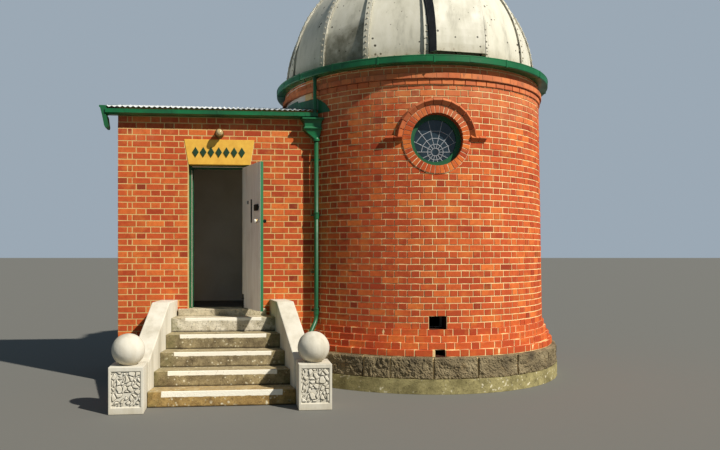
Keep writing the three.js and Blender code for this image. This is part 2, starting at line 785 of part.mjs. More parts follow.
function eavesGutter() {
  const sheet = 5;
  const back = FRONT - SEAT;
  const front = FRONT - EAVES_GUTTER.reach;
  const { bottom, top, right } = EAVES_GUTTER;
  const left = ROOF_LEFT;
  const lip = 14;
  const outline = [
    [back, top - 12],
    [back, bottom],
    [front + 40, bottom],
    [front, bottom + 18],
    [front, top],
    [front + lip, top],
    [front + lip, top - sheet],
    [front + sheet, top - sheet],
    [front + sheet, bottom + 20],
    [front + 42, bottom + sheet],
    [back - sheet, bottom + sheet],
    [back - sheet, top - 12],
  ];
  const end = outline.slice(0, 6);
  const outlet = new THREE.CylinderGeometry(DOWNPIPE_RADIUS - 6, DOWNPIPE_RADIUS - 6, 1, 12);
  return prismAlongX(outline, left, right)
    .add(prismAlongX(end, left, left + sheet))
    .add(prismAlongX(end, right - sheet, right))
    .add(uprightPipe(outlet, OUTLET, bottom - 60, bottom + 3))
    .subtract(outsideTower);
}

// Rainwater head and downpipe in the corner between the porch and the tower
add('porch_gutter', eavesGutter(), GREEN);

function rainwaterHead() {
  const { left, right, bottom, top, depth } = HEAD;
  const rim = 30; // stands out over the box below it
  const taper = top - 165;
  const collar = DOWNPIPE_RADIUS + 11;
  const sheet = 12;
  const outline = [
    [left, top],
    [left, top - 28],
    [left + rim - 8, top - 45],
    [left + rim, taper],
    [PIPE.x - collar, bottom + 15],
    [PIPE.x - collar, bottom],
    [PIPE.x + collar, bottom],
    [PIPE.x + collar, bottom + 15],
    [right - rim, taper],
    [right - rim + 8, top - 45],
    [right, top - 28],
    [right, top],
  ];
  const well = box(
    left + rim + sheet,
    right - rim - sheet,
    FRONT - depth + sheet,
    FRONT - sheet,
    taper + 10,
    top + 5,
  );
  return prismAlongY(outline, FRONT - depth, FRONT - SEAT).subtract(well).subtract(outsideTower);
}
add('rainwater_head', rainwaterHead(), GREEN);

function downpipe() {
  const path = new THREE.CurvePath();
  const points = [
    new THREE.Vector3(PIPE.x, PIPE.y, HEAD.bottom - SEAT),
    new THREE.Vector3(PIPE.x, PIPE.y, 880),
    new THREE.Vector3(PIPE_FOOT.x, PIPE_FOOT.y, 600),
    new THREE.Vector3(PIPE_FOOT.x, PIPE_FOOT.y, 70),
  ];
  const bend = 60;
  let start = points[0];
  for (let i = 1; i < points.length; i += 1) {
    const last = i === points.length - 1;
    const along = points[i].clone().sub(points[i - 1]).normalize();
    const end = last ? points[i] : points[i].clone().addScaledVector(along, -bend);
    path.add(new THREE.LineCurve3(start, end));
    if (!last) {
      const next = points[i + 1].clone().sub(points[i]).normalize();
      start = points[i].clone().addScaledVector(next, bend);
      path.add(new THREE.QuadraticBezierCurve3(end, points[i], start));
    }
  }
  const section = new THREE.Shape();
  section.absarc(0, 0, DOWNPIPE_RADIUS, 0, 2 * Math.PI);
  return solid(new THREE.ExtrudeGeometry(section, {
    extrudePath: path,
    steps: 30,
    curveSegments: 6,
    bevelEnabled: false,
  }));
}
add('downpipe', downpipe(), GREEN);

// Door frame, threshold and the open leaf
const LEAF_BOTTOM = FLOOR_TOP + 8;
const LEAF_TOP = 3040;
function doorFrame() {
  const { bottom } = LINTEL;
  const outer = box(
    DOOR_LEFT + SEAT,
    DOOR_RIGHT - SEAT,
    FRAME_FRONT,
    FRAME_FRONT + 110,
    FLOOR_TOP + SEAT,
    bottom - SEAT,
  );
  const rebate = box(
    DOOR_LEFT + JAMB,
    DOOR_RIGHT - JAMB,
    FRAME_FRONT - 50,
    LEAF_FRONT + LEAF_THICK + LEAF_GAP,
    FLOOR_TOP - 10,
    LEAF_TOP + LEAF_GAP,
  );
  const through = box(
    DOOR_LEFT + JAMB + 14,
    DOOR_RIGHT - JAMB - 14,
    FRAME_FRONT,
    FRAME_FRONT + 200,
    FLOOR_TOP - 10,
    LEAF_TOP - 10,
  );
  let frame = outer.subtract(rebate).subtract(through);
  for (const z of HINGE_HEIGHTS) {
    const flap = box(HINGE.x, DOOR_RIGHT - JAMB + 12, HINGE.y - 3, FRAME_FRONT + 2, z, z + KNUCKLE.half);
    frame = frame.add(knuckle(z, z + KNUCKLE.half)).add(flap);
  }
  return frame;
}

function knuckle(z0, z1) {
  const barrel = new THREE.CylinderGeometry(KNUCKLE.radius, KNUCKLE.radius, 1, 12);
  return uprightPipe(barrel, HINGE, z0, z1);
}
add('door_frame', doorFrame(), GREEN);

function threshold() {
  const { left, right, reach } = SILL;
  const outer = box(left, right, FRONT - reach, FRONT - SEAT, LANDING_TOP + SEAT, FLOOR_TOP);
  const inner = box(
    DOOR_LEFT + SEAT,
    DOOR_RIGHT - SEAT,
    FRONT - 5,
    FRONT + WALL,
    LANDING_TOP + SEAT,
    FLOOR_TOP,
  );
  return outer.add(inner);
}
add('door_threshold', threshold(), CONCRETE);

const door = new THREE.Group();
building.add(door);
const KNOB = { x: DOOR_LEFT + JAMB + 75, z: 2250, radius: 28, reach: 62 };
const SPINDLE_RADIUS = 9;

// Turned about the hinge from closed to where it stands
function opened(body) {
  const angle = LEAF_OPEN;
  return body.translate([-HINGE.x, -HINGE.y, 0]).rotate([0, 0, angle]).translate([HINGE.x, HINGE.y, 0]);
}

function doorLeaf() {
  const right = DOOR_RIGHT - JAMB - LEAF_GAP;
  const back = LEAF_FRONT + LEAF_THICK;
  let leaf = box(DOOR_LEFT + JAMB + LEAF_GAP, right, LEAF_FRONT, back, LEAF_BOTTOM, LEAF_TOP);
  for (const z of HINGE_HEIGHTS) {
    const z0 = z + KNUCKLE.half + SEAT;
    const z1 = z + 2 * KNUCKLE.half;
    leaf = leaf.add(knuckle(z0, z1)).add(box(right - 40, HINGE.x, HINGE.y - 3, LEAF_FRONT + 2, z0, z1));
  }
  const hole = SPINDLE_RADIUS + 2 * SEAT;
  const spindle = new THREE.CylinderGeometry(hole, hole, 300, 16);
  return leaf.subtract(solid(spindle.translate(KNOB.x, LEAF_FRONT, KNOB.z)));
}
add('door_leaf', opened(doorLeaf()), { color: 0xd8d8cf, roughness: 0.6 }, door);

function doorKnobs() {
  const middle = LEAF_FRONT + LEAF_THICK / 2;
  const reach = LEAF_THICK / 2 + KNOB.reach;
  const profile = [[0, -reach], [KNOB.radius - 8, -reach]];
  profile.push([KNOB.radius, -reach + 14], [KNOB.radius - 8, -reach + 34]);
  profile.push([SPINDLE_RADIUS, -reach + 40]);
  const points = [...profile, ...profile.map(([r, y]) => [r, -y]).reverse()];
  const geometry = new THREE.LatheGeometry(points.map(([r, y]) => new THREE.Vector2(r, y)), 16);
  return solid(geometry.translate(KNOB.x, middle, KNOB.z));
}
add('door_knobs', opened(doorKnobs()), { color: 0xb89a55, roughness: 0.35, metalness: 0.9 }, door);

// Steps, splayed in plan
const flightHalf = (out) => STEPS_HALF + STEPS_SPLAY * out;
function flightPlan(from, to, margin = 0) {
  return [
    [STEPS_X - flightHalf(from) + margin, FRONT - from],
    [STEPS_X + flightHalf(from) - margin, FRONT - from],
    [STEPS_X + flightHalf(to) - margin, FRONT - to],
    [STEPS_X - flightHalf(to) + margin, FRONT - to],
  ];
}

// Each step is a block as deep as its going, and the top one reaches back to the porch
for (let i = 0; i < STEP_COUNT; i += 1) {
  const front = FRONT - FLIGHT_FRONT + i * GOING;
  const back = i === STEP_COUNT - 1 ? FRONT - SEAT : front + GOING - SEAT;
  const block = box(STEPS_X - 1500, STEPS_X + 1500, front, back, 0, (i + 1) * RISE);
  add(`step_${i + 1}`, block.intersect(prism(flightPlan(0, 1600, SEAT), -10, 2000)), CONCRETE);
}

// Cheek walls: level against the porch, then falling to the pedestals
for (const [name, side] of [['left', -1], ['right', 1]]) {
  const inner = (out) => STEPS_X + side * flightHalf(out);
  const outer = (out) => inner(out) + side * CHEEK.thick;
  const end = CHEEK.reach - SEAT;
  const plan = [
    [inner(SEAT), FRONT - SEAT],
    [inner(end), FRONT - end],
    [outer(end), FRONT - end],
    [outer(SEAT), FRONT - SEAT],
  ];
  const profile = [
    [FRONT, 0],
    [FRONT - CHEEK.reach, 0],
    [FRONT - CHEEK.reach, CHEEK.foot],
    [FRONT - CHEEK.level, CHEEK.top],
    [FRONT, CHEEK.top],
  ];
  const body = prism(side > 0 ? plan : plan.reverse(), 0, CHEEK.top + 10);
  const cheek = body.intersect(prismAlongX(profile, -6000, 6000));
  add(`cheek_wall_${name}`, cheek.subtract(outsideTower), RENDER);

  const middle = STEPS_X + side * PEDESTAL.offset;
  const half = PEDESTAL.width / 2;
  const near = FRONT - CHEEK.reach;
  const panel = box(middle - half + 32, middle + half - 32, near - PEDESTAL.width - 9,
    near - PEDESTAL.width + 14, 78, PEDESTAL.height - 50);
  const pedestal = box(middle - half, middle + half, near - PEDESTAL.width, near, 0, PEDESTAL.height);
  add(`pedestal_${name}`, pedestal.subtract(panel), RENDER);

  const ball = new THREE.SphereGeometry(BALL_RADIUS, 20, 12).rotateX(Math.PI / 2);
  ball.translate(middle, near - half, PEDESTAL.height + BALL_RADIUS - 20);
  const below = box(middle - 300, middle + 300, near - 600, near + 300, 0, PEDESTAL.height + SEAT);
  add(`ball_${name}`, solid(ball).subtract(below), RENDER);
}

// Lamp above the lintel
function wallLamp() {
  const profile = [[0, 0], [62, 0], [62, 12], [52, 18], [52, 120], [44, 138], [24, 150], [0, 154]];
  const geometry = new THREE.LatheGeometry(profile.map(([r, y]) => new THREE.Vector2(r, y)), 20);
  geometry.rotateX(Math.PI).translate(halfDoor, FRONT - SEAT, 3508);
  return solid(geometry);
}
add('wall_lamp', wallLamp(), { color: 0x8e8a7a, roughness: 0.4, metalness: 0.3 });

export default building;
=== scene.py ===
# %% [markdown]
# # A small brick observatory
# This notebook dresses a measured model of a round brick tower with a turning dome and a brick
# entrance porch. The solids come ready from the imported frame, in metres, with +Z up and the porch
# facing -Y. Each cell adds one kind of piece or finish: the bricks, the rock-faced stones, the
# rivets, the leaded window and so on. The frame decides where everything is, so the lesson starts
# by loading it.

# %% Load the imported frame
import json
import math
import random

import bmesh
import bpy
from mathutils import Matrix, Vector, noise


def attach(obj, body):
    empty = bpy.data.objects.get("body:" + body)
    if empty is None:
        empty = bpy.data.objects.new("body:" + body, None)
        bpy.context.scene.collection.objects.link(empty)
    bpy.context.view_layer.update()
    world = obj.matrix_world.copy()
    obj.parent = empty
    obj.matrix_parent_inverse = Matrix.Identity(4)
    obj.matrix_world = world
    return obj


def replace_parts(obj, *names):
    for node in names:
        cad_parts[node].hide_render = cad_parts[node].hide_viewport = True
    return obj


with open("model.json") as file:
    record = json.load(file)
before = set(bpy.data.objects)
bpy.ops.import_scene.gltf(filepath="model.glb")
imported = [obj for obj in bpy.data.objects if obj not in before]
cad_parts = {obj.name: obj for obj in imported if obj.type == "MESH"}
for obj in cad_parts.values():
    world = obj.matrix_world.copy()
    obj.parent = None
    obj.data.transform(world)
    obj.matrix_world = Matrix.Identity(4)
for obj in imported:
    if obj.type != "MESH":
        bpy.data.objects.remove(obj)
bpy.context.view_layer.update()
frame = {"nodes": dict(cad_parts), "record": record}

random.seed(1918)
print(len(frame["nodes"]), "solids in the frame")

# %% [markdown]
# ## The camera
# The photographer stood in front of the porch, a little to its left, with a level camera and a
# normal lens. The courses of brick fix the focal length: 662 pixels for an image 720 wide. A level
# camera keeps uprights upright, and the view is raised with shift instead of tilt, as an
# architectural photographer would do it. The tower then leans nowhere and the dome is cut by the
# top edge, as it should be.

# %% Camera
IMAGE_WIDTH, IMAGE_HEIGHT = 720, 450
FOCAL_PIXELS = 662
HORIZON = 251.8
PRINCIPAL = 298
SENSOR_WIDTH = 36
CAMERA_PLACE = (-1.640, -10.235, 1.84)
CAMERA_TURN = -5.62


def add_object(name, data):
    """Links an object with its data into the scene."""
    made = bpy.data.objects.new(name, data)
    bpy.context.scene.collection.objects.link(made)
    return made


camera_data = bpy.data.cameras.new("street_camera")
camera = add_object("street_camera", camera_data)
camera.location = CAMERA_PLACE
camera.rotation_euler = (math.radians(90), 0, math.radians(CAMERA_TURN))
camera_data.sensor_width = SENSOR_WIDTH
camera_data.lens = SENSOR_WIDTH * FOCAL_PIXELS / IMAGE_WIDTH
camera_data.shift_x = (IMAGE_WIDTH / 2 - PRINCIPAL) / IMAGE_WIDTH
camera_data.shift_y = (HORIZON - IMAGE_HEIGHT / 2) / IMAGE_WIDTH
camera_data.clip_end = 200
bpy.context.scene.camera = camera
print("lens", round(camera_data.lens, 1), "mm")

# %% [markdown]
# ## Values that many pieces share
# The tower's axis, the dome's axis a little left of it, the wall's lean and the brick course come
# up in nearly every step, so they are named once. A vent is half its width, its foot and its head,
# FACING turns an upright shape so that it looks out at -Y, and a ring has FULL_TURN facets.
# Azimuths are degrees from -Y towards +X, seen from above. The small functions turn an azimuth and
# a radius into a place, and a flat drawing into one that stands against the wall.

# %% Shared measures
AXIS = Vector((1.2, 0.335, 0))
DOME_AXIS = Vector((1.168, 0.335, 0))
COURSE = 0.086
JOINT = 0.013
FLARE_TOP = 0.814
PLINTH_TOP = 0.470
FRONT = -0.795
PORCH_LEFT = -3.235
PORCH_BACK = 0.935
WALL_FOOT_RADIUS, WALL_LEAN, WALL_LEAN_TOP = 2.050, 0.055, 4.400
WINDOW_AZIMUTH = -4
WINDOW_Z = 3.333
RING_HOLE = 0.352
VENT = (0.1125, FLARE_TOP, FLARE_TOP + 2 * COURSE)
LOW_VENT = (0.0625, PLINTH_TOP, PLINTH_TOP + COURSE)
UP = Vector((0, 0, 1))
FACING = Matrix.Rotation(math.radians(90), 4, "X")
AT_AXIS = Matrix.Translation(AXIS)
FULL_TURN = 168


def out_of_tower(azimuth):
    """The level direction out of the tower at an azimuth."""
    angle = math.radians(azimuth)
    return Vector((math.sin(angle), -math.cos(angle), 0))


def wall_radius(z):
    """Outer radius of the leaning wall above its flared foot."""
    return WALL_FOOT_RADIUS - WALL_LEAN * (z - FLARE_TOP) / (WALL_LEAN_TOP - FLARE_TOP)


def on_wall(azimuth, radius, z):
    """The place at an azimuth, a radius and a height about the tower's axis."""
    return AXIS + out_of_tower(azimuth) * radius + UP * z


def at(*place):
    """The matrix that moves a shape to a place."""
    return Matrix.Translation(place)


def against_tower(azimuth, radius, z):
    """Places a drawing whose X runs right, Z up and -Y out of the wall."""
    turn = Matrix.Rotation(math.radians(azimuth), 4, "Z")
    return Matrix.Translation(on_wall(azimuth, radius, z)) @ turn


print("wall radius at the window", round(wall_radius(WINDOW_Z), 3))

# %% [markdown]
# ## Making a piece
# Every new piece goes through one function. It turns a bmesh into an object at the origin, gives it
# its finish, and hangs it on the body that carries it.
# The others make the shapes that return many times: a bar with softened arrises, a profile turned
# all the way round, and a net of faces between lines of points. A last one cuts a shape in two.

# %% Helpers that turn a bmesh into a piece
def piece(name, shape, body, finish, smooth=False):
    """Links a bmesh as a finished piece that rides on a body."""
    mesh = bpy.data.meshes.new(name)
    shape.to_mesh(mesh)
    shape.free()
    mesh.materials.append(finish)
    mesh.polygons.foreach_set("use_smooth", [smooth] * len(mesh.polygons))
    made = add_object(name, mesh)
    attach(made, body)
    print(name, len(mesh.polygons), "faces")
    return made


def add_bar(shape, size, matrix, arris=0.0):
    """A bar of a size, centred, with small bevels, placed by a matrix."""
    scale = Matrix.Diagonal((*size, 1))
    verts = bmesh.ops.create_cube(shape, size=1, matrix=scale)["verts"]
    if arris:
        edges = list({e for v in verts for e in v.link_edges})
        made = bmesh.ops.bevel(shape, geom=edges, offset=arris, offset_type="OFFSET", segments=1,
                               profile=0.5, affect="EDGES", material=-1)
        verts = list({v for f in made["faces"] for v in f.verts} | {v for v in verts if v.is_valid})
    bmesh.ops.transform(shape, matrix=matrix, verts=verts)


def add_turned(shape, profile, matrix, steps=24):
    """A profile of (radius, height) turned about Z, then placed by a matrix."""
    verts = [shape.verts.new((r, 0, h)) for r, h in profile]
    edges = [shape.edges.new(pair) for pair in zip(verts, verts[1:])]
    bmesh.ops.spin(shape, geom=verts + edges, cent=(0, 0, 0), axis=(0, 0, 1),
                   angle=math.tau, steps=steps, use_merge=True)
    found = set(verts)
    todo = list(verts)
    while todo:
        for edge in todo.pop().link_edges:
            for vert in edge.verts:
                if vert not in found:
                    found.add(vert)
                    todo.append(vert)
    bmesh.ops.transform(shape, matrix=matrix, verts=list(found))


def add_net(shape, lines):
    """Faces between points in lines side by side; a missing point leaves a hole."""
    for a, b in zip(lines, lines[1:]):
        for j in range(len(a) - 1):
            corners = (a[j], b[j], b[j + 1], a[j + 1])
            if all(corners):
                shape.faces.new(corners)


def cut(shape, place, normal):
    """New edges all round a shape where a plane passes through it."""
    bmesh.ops.bisect_plane(shape, geom=shape.verts[:] + shape.edges[:] + shape.faces[:],
                           dist=1e-5, plane_co=place, plane_no=normal)


def close_up(shape):
    """Merges doubles, then turns all faces out."""
    bmesh.ops.remove_doubles(shape, verts=shape.verts, dist=0.0001)
    bmesh.ops.recalc_face_normals(shape, faces=shape.faces)


print("helpers ready")

# %% [markdown]
# ## The floor and the light
# A plain grey floor shows the object without a setting. The photo was taken on a clear day, with
# the sun high over the photographer's right shoulder: the lamp's shadow falls to the left and down.
# A sun lamp keeps that direction, and a faint blue sky fills the shadows, which are deep in the
# photo. The camera itself sees a paler backdrop than the sky that lights the walls. The plain view
# transform keeps the photo's strong orange, which a filmic one would wash out.

# %% Floor, sun and sky
def linear(code):
    """A colour as #rrggbb in the linear numbers that a shader takes."""
    parts = [int(code[i:i + 2], 16) / 255 for i in (1, 3, 5)]
    return tuple(p / 12.92 if p < 0.04045 else ((p + 0.055) / 1.055) ** 2.4 for p in parts)


FLOOR_REACH, FLOOR_GAP = 200, 0.002
floor_shape = bmesh.new()
bmesh.ops.create_grid(floor_shape, x_segments=8, y_segments=8, size=FLOOR_REACH)
floor_mesh = bpy.data.meshes.new("studio_floor")
floor_shape.to_mesh(floor_mesh)
floor_shape.free()
floor_mesh.transform(at(0, 0, -FLOOR_GAP))
floor = add_object("studio_floor", floor_mesh)
floor_finish = bpy.data.materials.new("grey_floor")
floor_finish.use_nodes = True
floor_shader = floor_finish.node_tree.nodes["Principled BSDF"]
floor_shader.inputs["Base Color"].default_value = (*linear("#6b6a64"), 1)
floor_shader.inputs["Roughness"].default_value = 0.9
floor_mesh.materials.append(floor_finish)

sun_data = bpy.data.lights.new("sun", "SUN")
sun_data.energy = 5.4
sun_data.angle = math.radians(1.2)
sun_data.color = (1.0, 0.95, 0.87)
sun = add_object("sun", sun_data)
SUN_AZIMUTH = 47
SUN_HEIGHT = 42.5
towards_sun = (out_of_tower(SUN_AZIMUTH) * math.cos(math.radians(SUN_HEIGHT))
               + UP * math.sin(math.radians(SUN_HEIGHT)))
sun.rotation_euler = towards_sun.to_track_quat("Z", "Y").to_euler()

sky = bpy.data.worlds.new("pale_sky")
bpy.context.scene.world = sky
sky.use_nodes = True
sky_nodes, sky_links = sky.node_tree.nodes, sky.node_tree.links
fill = sky_nodes["Background"]
fill.inputs["Color"].default_value = (0.57, 0.78, 1.0, 1)
fill.inputs["Strength"].default_value = 0.23
backdrop = sky_nodes.new("ShaderNodeBackground")
backdrop.inputs["Color"].default_value = (0.60, 0.72, 0.84, 1)
backdrop.inputs["Strength"].default_value = 0.55
seen, chosen = sky_nodes.new("ShaderNodeLightPath"), sky_nodes.new("ShaderNodeMixShader")
sky_links.new(seen.outputs["Is Camera Ray"], chosen.inputs[0])
sky_links.new(fill.outputs[0], chosen.inputs[1])
sky_links.new(backdrop.outputs[0], chosen.inputs[2])
sky_links.new(chosen.outputs[0], sky_nodes["World Output"].inputs["Surface"])
bpy.context.scene.view_settings.view_transform = "Standard"
print("sun from", [round(v, 2) for v in towards_sun])

# %% [markdown]
# ## Finishes
# Each finish is a small tree of nodes on one Principled shader. A short class keeps the node calls
# readable. Patterns read Object coordinates, which are metres in the frame here, so a scale of 10
# gives lumps about 10 cm wide. Most wear is laid on in one way: a second colour comes in where a
# noise or a height passes through a range, which tint does. Bricks carry a number each, called
# tone, in an attribute, and their finish turns it into a firing colour.

# %% A class for finishes
class Finish:
    """One procedural material with short names for the nodes that feed it."""

    def __init__(self, name, roughness, metallic=0.0, specular=0.5):
        self.material = bpy.data.materials.new(name)
        self.material.use_nodes = True
        self.tree = self.material.node_tree
        self.shader = self.tree.nodes["Principled BSDF"]
        self.shader.inputs["Roughness"].default_value = roughness
        self.shader.inputs["Metallic"].default_value = metallic
        self.shader.inputs["Specular IOR Level"].default_value = specular
        self.place = self.make("ShaderNodeTexCoord", "Object", {})

    def make(self, kind, output, inputs, **settings):
        """Adds a node, feeds its sockets by name or number, and gives one of its outputs."""
        made = self.tree.nodes.new(kind)
        for key, value in settings.items():
            setattr(made, key, value)
        for key, source in inputs.items():
            self.feed(made.inputs[key], source)
        return made.outputs[output]

    def feed(self, socket, source):
        """Links a socket, or sets it to a number, or to a colour given as #rrggbb."""
        if isinstance(source, bpy.types.NodeSocket):
            self.tree.links.new(source, socket)
        else:
            socket.default_value = (*linear(source), 1) if socket.type == "RGBA" else source

    def stretched(self, scale):
        return self.make("ShaderNodeMapping", "Vector", {"Vector": self.place, "Scale": scale})

    def noise(self, scale, detail=4.0, rough=0.55, place=None):
        return self.make("ShaderNodeTexNoise", "Fac", {
            "Vector": place or self.place, "Scale": scale, "Detail": detail, "Roughness": rough})

    def cells(self, scale, feature="F1"):
        return self.make("ShaderNodeTexVoronoi", "Distance",
                         {"Vector": self.place, "Scale": scale}, feature=feature)

    def axis(self, letter):
        return self.make("ShaderNodeSeparateXYZ", letter, {0: self.place})

    def along(self, direction):
        return self.make("ShaderNodeVectorMath", "Value", {0: self.place, 1: tuple(direction)},
                         operation="DOT_PRODUCT")

    def sum(self, operation, first, second=0.0):
        return self.make("ShaderNodeMath", 0, {0: first, 1: second}, operation=operation)

    def plus(self, first, second):
        return self.sum("ADD", first, second)

    def minus(self, first, second):
        return self.sum("SUBTRACT", first, second)

    def times(self, first, second):
        return self.sum("MULTIPLY", first, second)

    def squares(self, first, second):
        """Two numbers squared and added, which serves as a distance without its root."""
        return self.plus(self.times(first, first), self.times(second, second))

    def off(self, origin, direction):
        """How far a point lies from an origin in a direction."""
        return self.minus(self.along(direction), origin.dot(direction))

    def between(self, value, low, high, start=0.0, end=1.0):
        return self.make("ShaderNodeMapRange", "Result",
                         {0: value, 1: low, 2: high, 3: start, 4: end})

    def inside(self, value, low, high, soft=0.001):
        """1 between two numbers, 0 outside them."""
        above = self.between(value, low - soft, low + soft)
        below = self.between(value, high - soft, high + soft, 1.0, 0.0)
        return self.times(above, below)

    def mix(self, factor, first, second):
        return self.make("ShaderNodeMix", 2, {0: factor, 6: first, 7: second}, data_type="RGBA")

    def tint(self, colour, code, value, low, high, start=0.0, end=1.0):
        """Brings in a second colour as a value passes through a range."""
        return self.mix(self.between(value, low, high, start, end), colour, code)

    def ramp(self, value, *stops):
        made = self.tree.nodes.new("ShaderNodeValToRGB")
        self.feed(made.inputs["Fac"], value)
        band = made.color_ramp.elements
        while len(band) < len(stops):
            band.new(0.5)
        for element, (position, code) in zip(band, stops):
            element.position = position
            element.color = (*linear(code), 1)
        return made.outputs["Color"]

    def paint(self, colour, roughness=None):
        self.feed(self.shader.inputs["Base Color"], colour)
        if roughness is not None:
            self.feed(self.shader.inputs["Roughness"], roughness)

    def relief(self, height, strength, distance):
        self.feed(self.shader.inputs["Normal"], self.make("ShaderNodeBump", "Normal", {
            "Strength": strength, "Distance": distance, "Height": height}))


print("finish class ready")

# %% [markdown]
# ## Brick and mortar
# The bricks were fired in one kiln but not evenly: most are orange red, some went plum, and the
# ones high up are bleached by the weather. A ramp from a number to four firing colours gives that
# spread, and noise mottles each face. The mortar is a cream lime mix, darker on the porch. The wall
# solids show it between the bricks outside, and a grey limewash inside, so their finish chooses by
# place: by distance from the tower's axis, and by whether a point lies within the porch's room. The
# same kind of mask paints shade, in dark brown, on the sides of the two vents.

# %% Brick finishes
def brick_finish(name, *firing):
    made = Finish(name, 0.88, specular=0.2)
    tone = made.make("ShaderNodeAttribute", "Fac", {}, attribute_name="tone")
    mottle = made.noise(21, 6, 0.65)
    colour = made.tint(made.ramp(tone, *firing), "#8e3a1e", mottle, 0.42, 0.78, 0.0, 0.5)
    colour = made.tint(colour, "#e5913f", made.noise(5.5, 3), 0.52, 0.78, 0.0, 0.4)
    colour = made.tint(colour, "#4a2015", made.cells(150), 0.10, 0.22, 0.5, 0.0)
    bleached = made.plus(made.axis("Z"), made.times(made.noise(3.1, 7, 0.7), 2.4))
    made.paint(made.tint(colour, "#dc9a6c", bleached, 4.6, 5.6, 0.0, 0.45))
    made.relief(made.plus(made.noise(110, 3), made.times(mottle, 1.5)), 0.5, 0.002)
    return made.material


facing_brick = brick_finish("facing_brick", (0.0, "#87341f"), (0.2, "#a94224"),
                            (0.6, "#c4562b"), (1.0, "#dd7436"))
moulded_brick = brick_finish("moulded_brick", (0.0, "#8a3f25"), (0.5, "#b55a34"), (1.0, "#cf7444"))
print("brick finishes:", facing_brick.name, moulded_brick.name)

# %% Mortar outside, limewash inside
ROOM_RADIUS = 1.80
WALL_HEAD_Z = 4.33


def painted_vent_shade(made):
    """A mask of the sides of the two vents, where dark brown is painted as shade."""
    side = made.sum("ABSOLUTE", made.off(AXIS, out_of_tower(WINDOW_AZIMUTH + 90)))
    z = made.axis("Z")
    openings = [made.times(made.inside(side, -1, half + JOINT / 2),
                           made.inside(z, low - 0.002, high + 0.002))
                for half, low, high in (VENT, LOW_VENT)]
    front = made.between(made.off(AXIS, out_of_tower(WINDOW_AZIMUTH)), 1.0, 1.1)
    return made.times(made.sum("MAXIMUM", *openings), front)


def porch_room(made):
    across = made.inside(made.axis("X"), -3.004, 0.5)
    return made.times(across, made.inside(made.axis("Y"), -0.566, 0.7055))


def tower_room(made):
    x = made.axis("X")
    square = made.squares(made.minus(x, AXIS.x), made.minus(made.axis("Y"), AXIS.y))
    within = made.between(square, (ROOM_RADIUS - 0.01) ** 2, ROOM_RADIUS ** 2, 1.0, 0.0)
    porch_side = made.times(porch_room(made), made.between(x, 0.3, 0.31, 1.0, 0.0))
    return made.sum("MAXIMUM", within, porch_side)


def wall_finish(name, room, shades, vent_shade=None):
    """Mortar of three shades outside, painted shade on top of the wall, and limewash in a room."""
    made = Finish(name, 0.93, specular=0.15)
    sand = made.noise(160, 3, 0.7)
    mortar = made.ramp(sand, *zip((0.25, 0.55, 0.9), shades))
    mortar = made.tint(mortar, "#a07c48", made.noise(2.2, 4), 0.5, 0.75, 0.0, 0.5)
    # Painted shade: darker mortar on the head of the wall, in the gap under the dome's foot.
    mortar = made.tint(mortar, "#6f5b3c", made.axis("Z"), WALL_HEAD_Z, WALL_HEAD_Z + 0.01,
                       0.0, 0.85)
    # Painted shade: dark brown on the sides of the vents.
    if vent_shade:
        mortar = made.mix(vent_shade(made), mortar, "#43261a")
    limewash = made.ramp(made.noise(1.6, 6), (0.3, "#d3cdc0"), (0.7, "#ece8df"))
    made.paint(made.mix(room(made), mortar, limewash))
    made.relief(sand, 0.5, 0.002)
    return made.material


tower_mortar = wall_finish("tower_mortar", tower_room, ("#c8a56c", "#efd39b", "#fdebc0"),
                           painted_vent_shade)
porch_mortar = wall_finish("porch_mortar", porch_room, ("#b8945a", "#dcba7c", "#eed6a2"))
print("wall finishes:", tower_mortar.name, porch_mortar.name)

# %% [markdown]
# ## Stone, concrete and painted render
# Bluestone is a dark basalt: two greys, rusty patches and fine pits. The steps are old concrete,
# brown grey, with pale lichen and moss at their sheltered ends, a dark line along their feet that
# is painted shade with dirt, tread tops painted paler in patches as sunlight, and a worn white
# strip on each edge. The cheek walls, pedestals and balls are painted render, with rain streaks,
# which are noise stretched upright, and splash dirt near the ground, which follows height.

# %% Stone and concrete finishes
STEPS_X = -1.765


def bluestone_finish():
    made = Finish("bluestone", 0.9, specular=0.3)
    colour = made.ramp(made.noise(3.4, 6, 0.6),
                       (0.3, "#514736"), (0.55, "#827457"), (0.8, "#b0a17f"))
    colour = made.tint(colour, "#8d7650", made.noise(7.5, 4), 0.56, 0.75, 0.0, 0.6)
    pits = made.cells(70)
    made.paint(made.tint(colour, "#2b251c", pits, 0.05, 0.3, 0.5, 0.0))
    made.relief(made.plus(made.noise(30, 8, 0.72), pits), 1.0, 0.012)
    return made.material


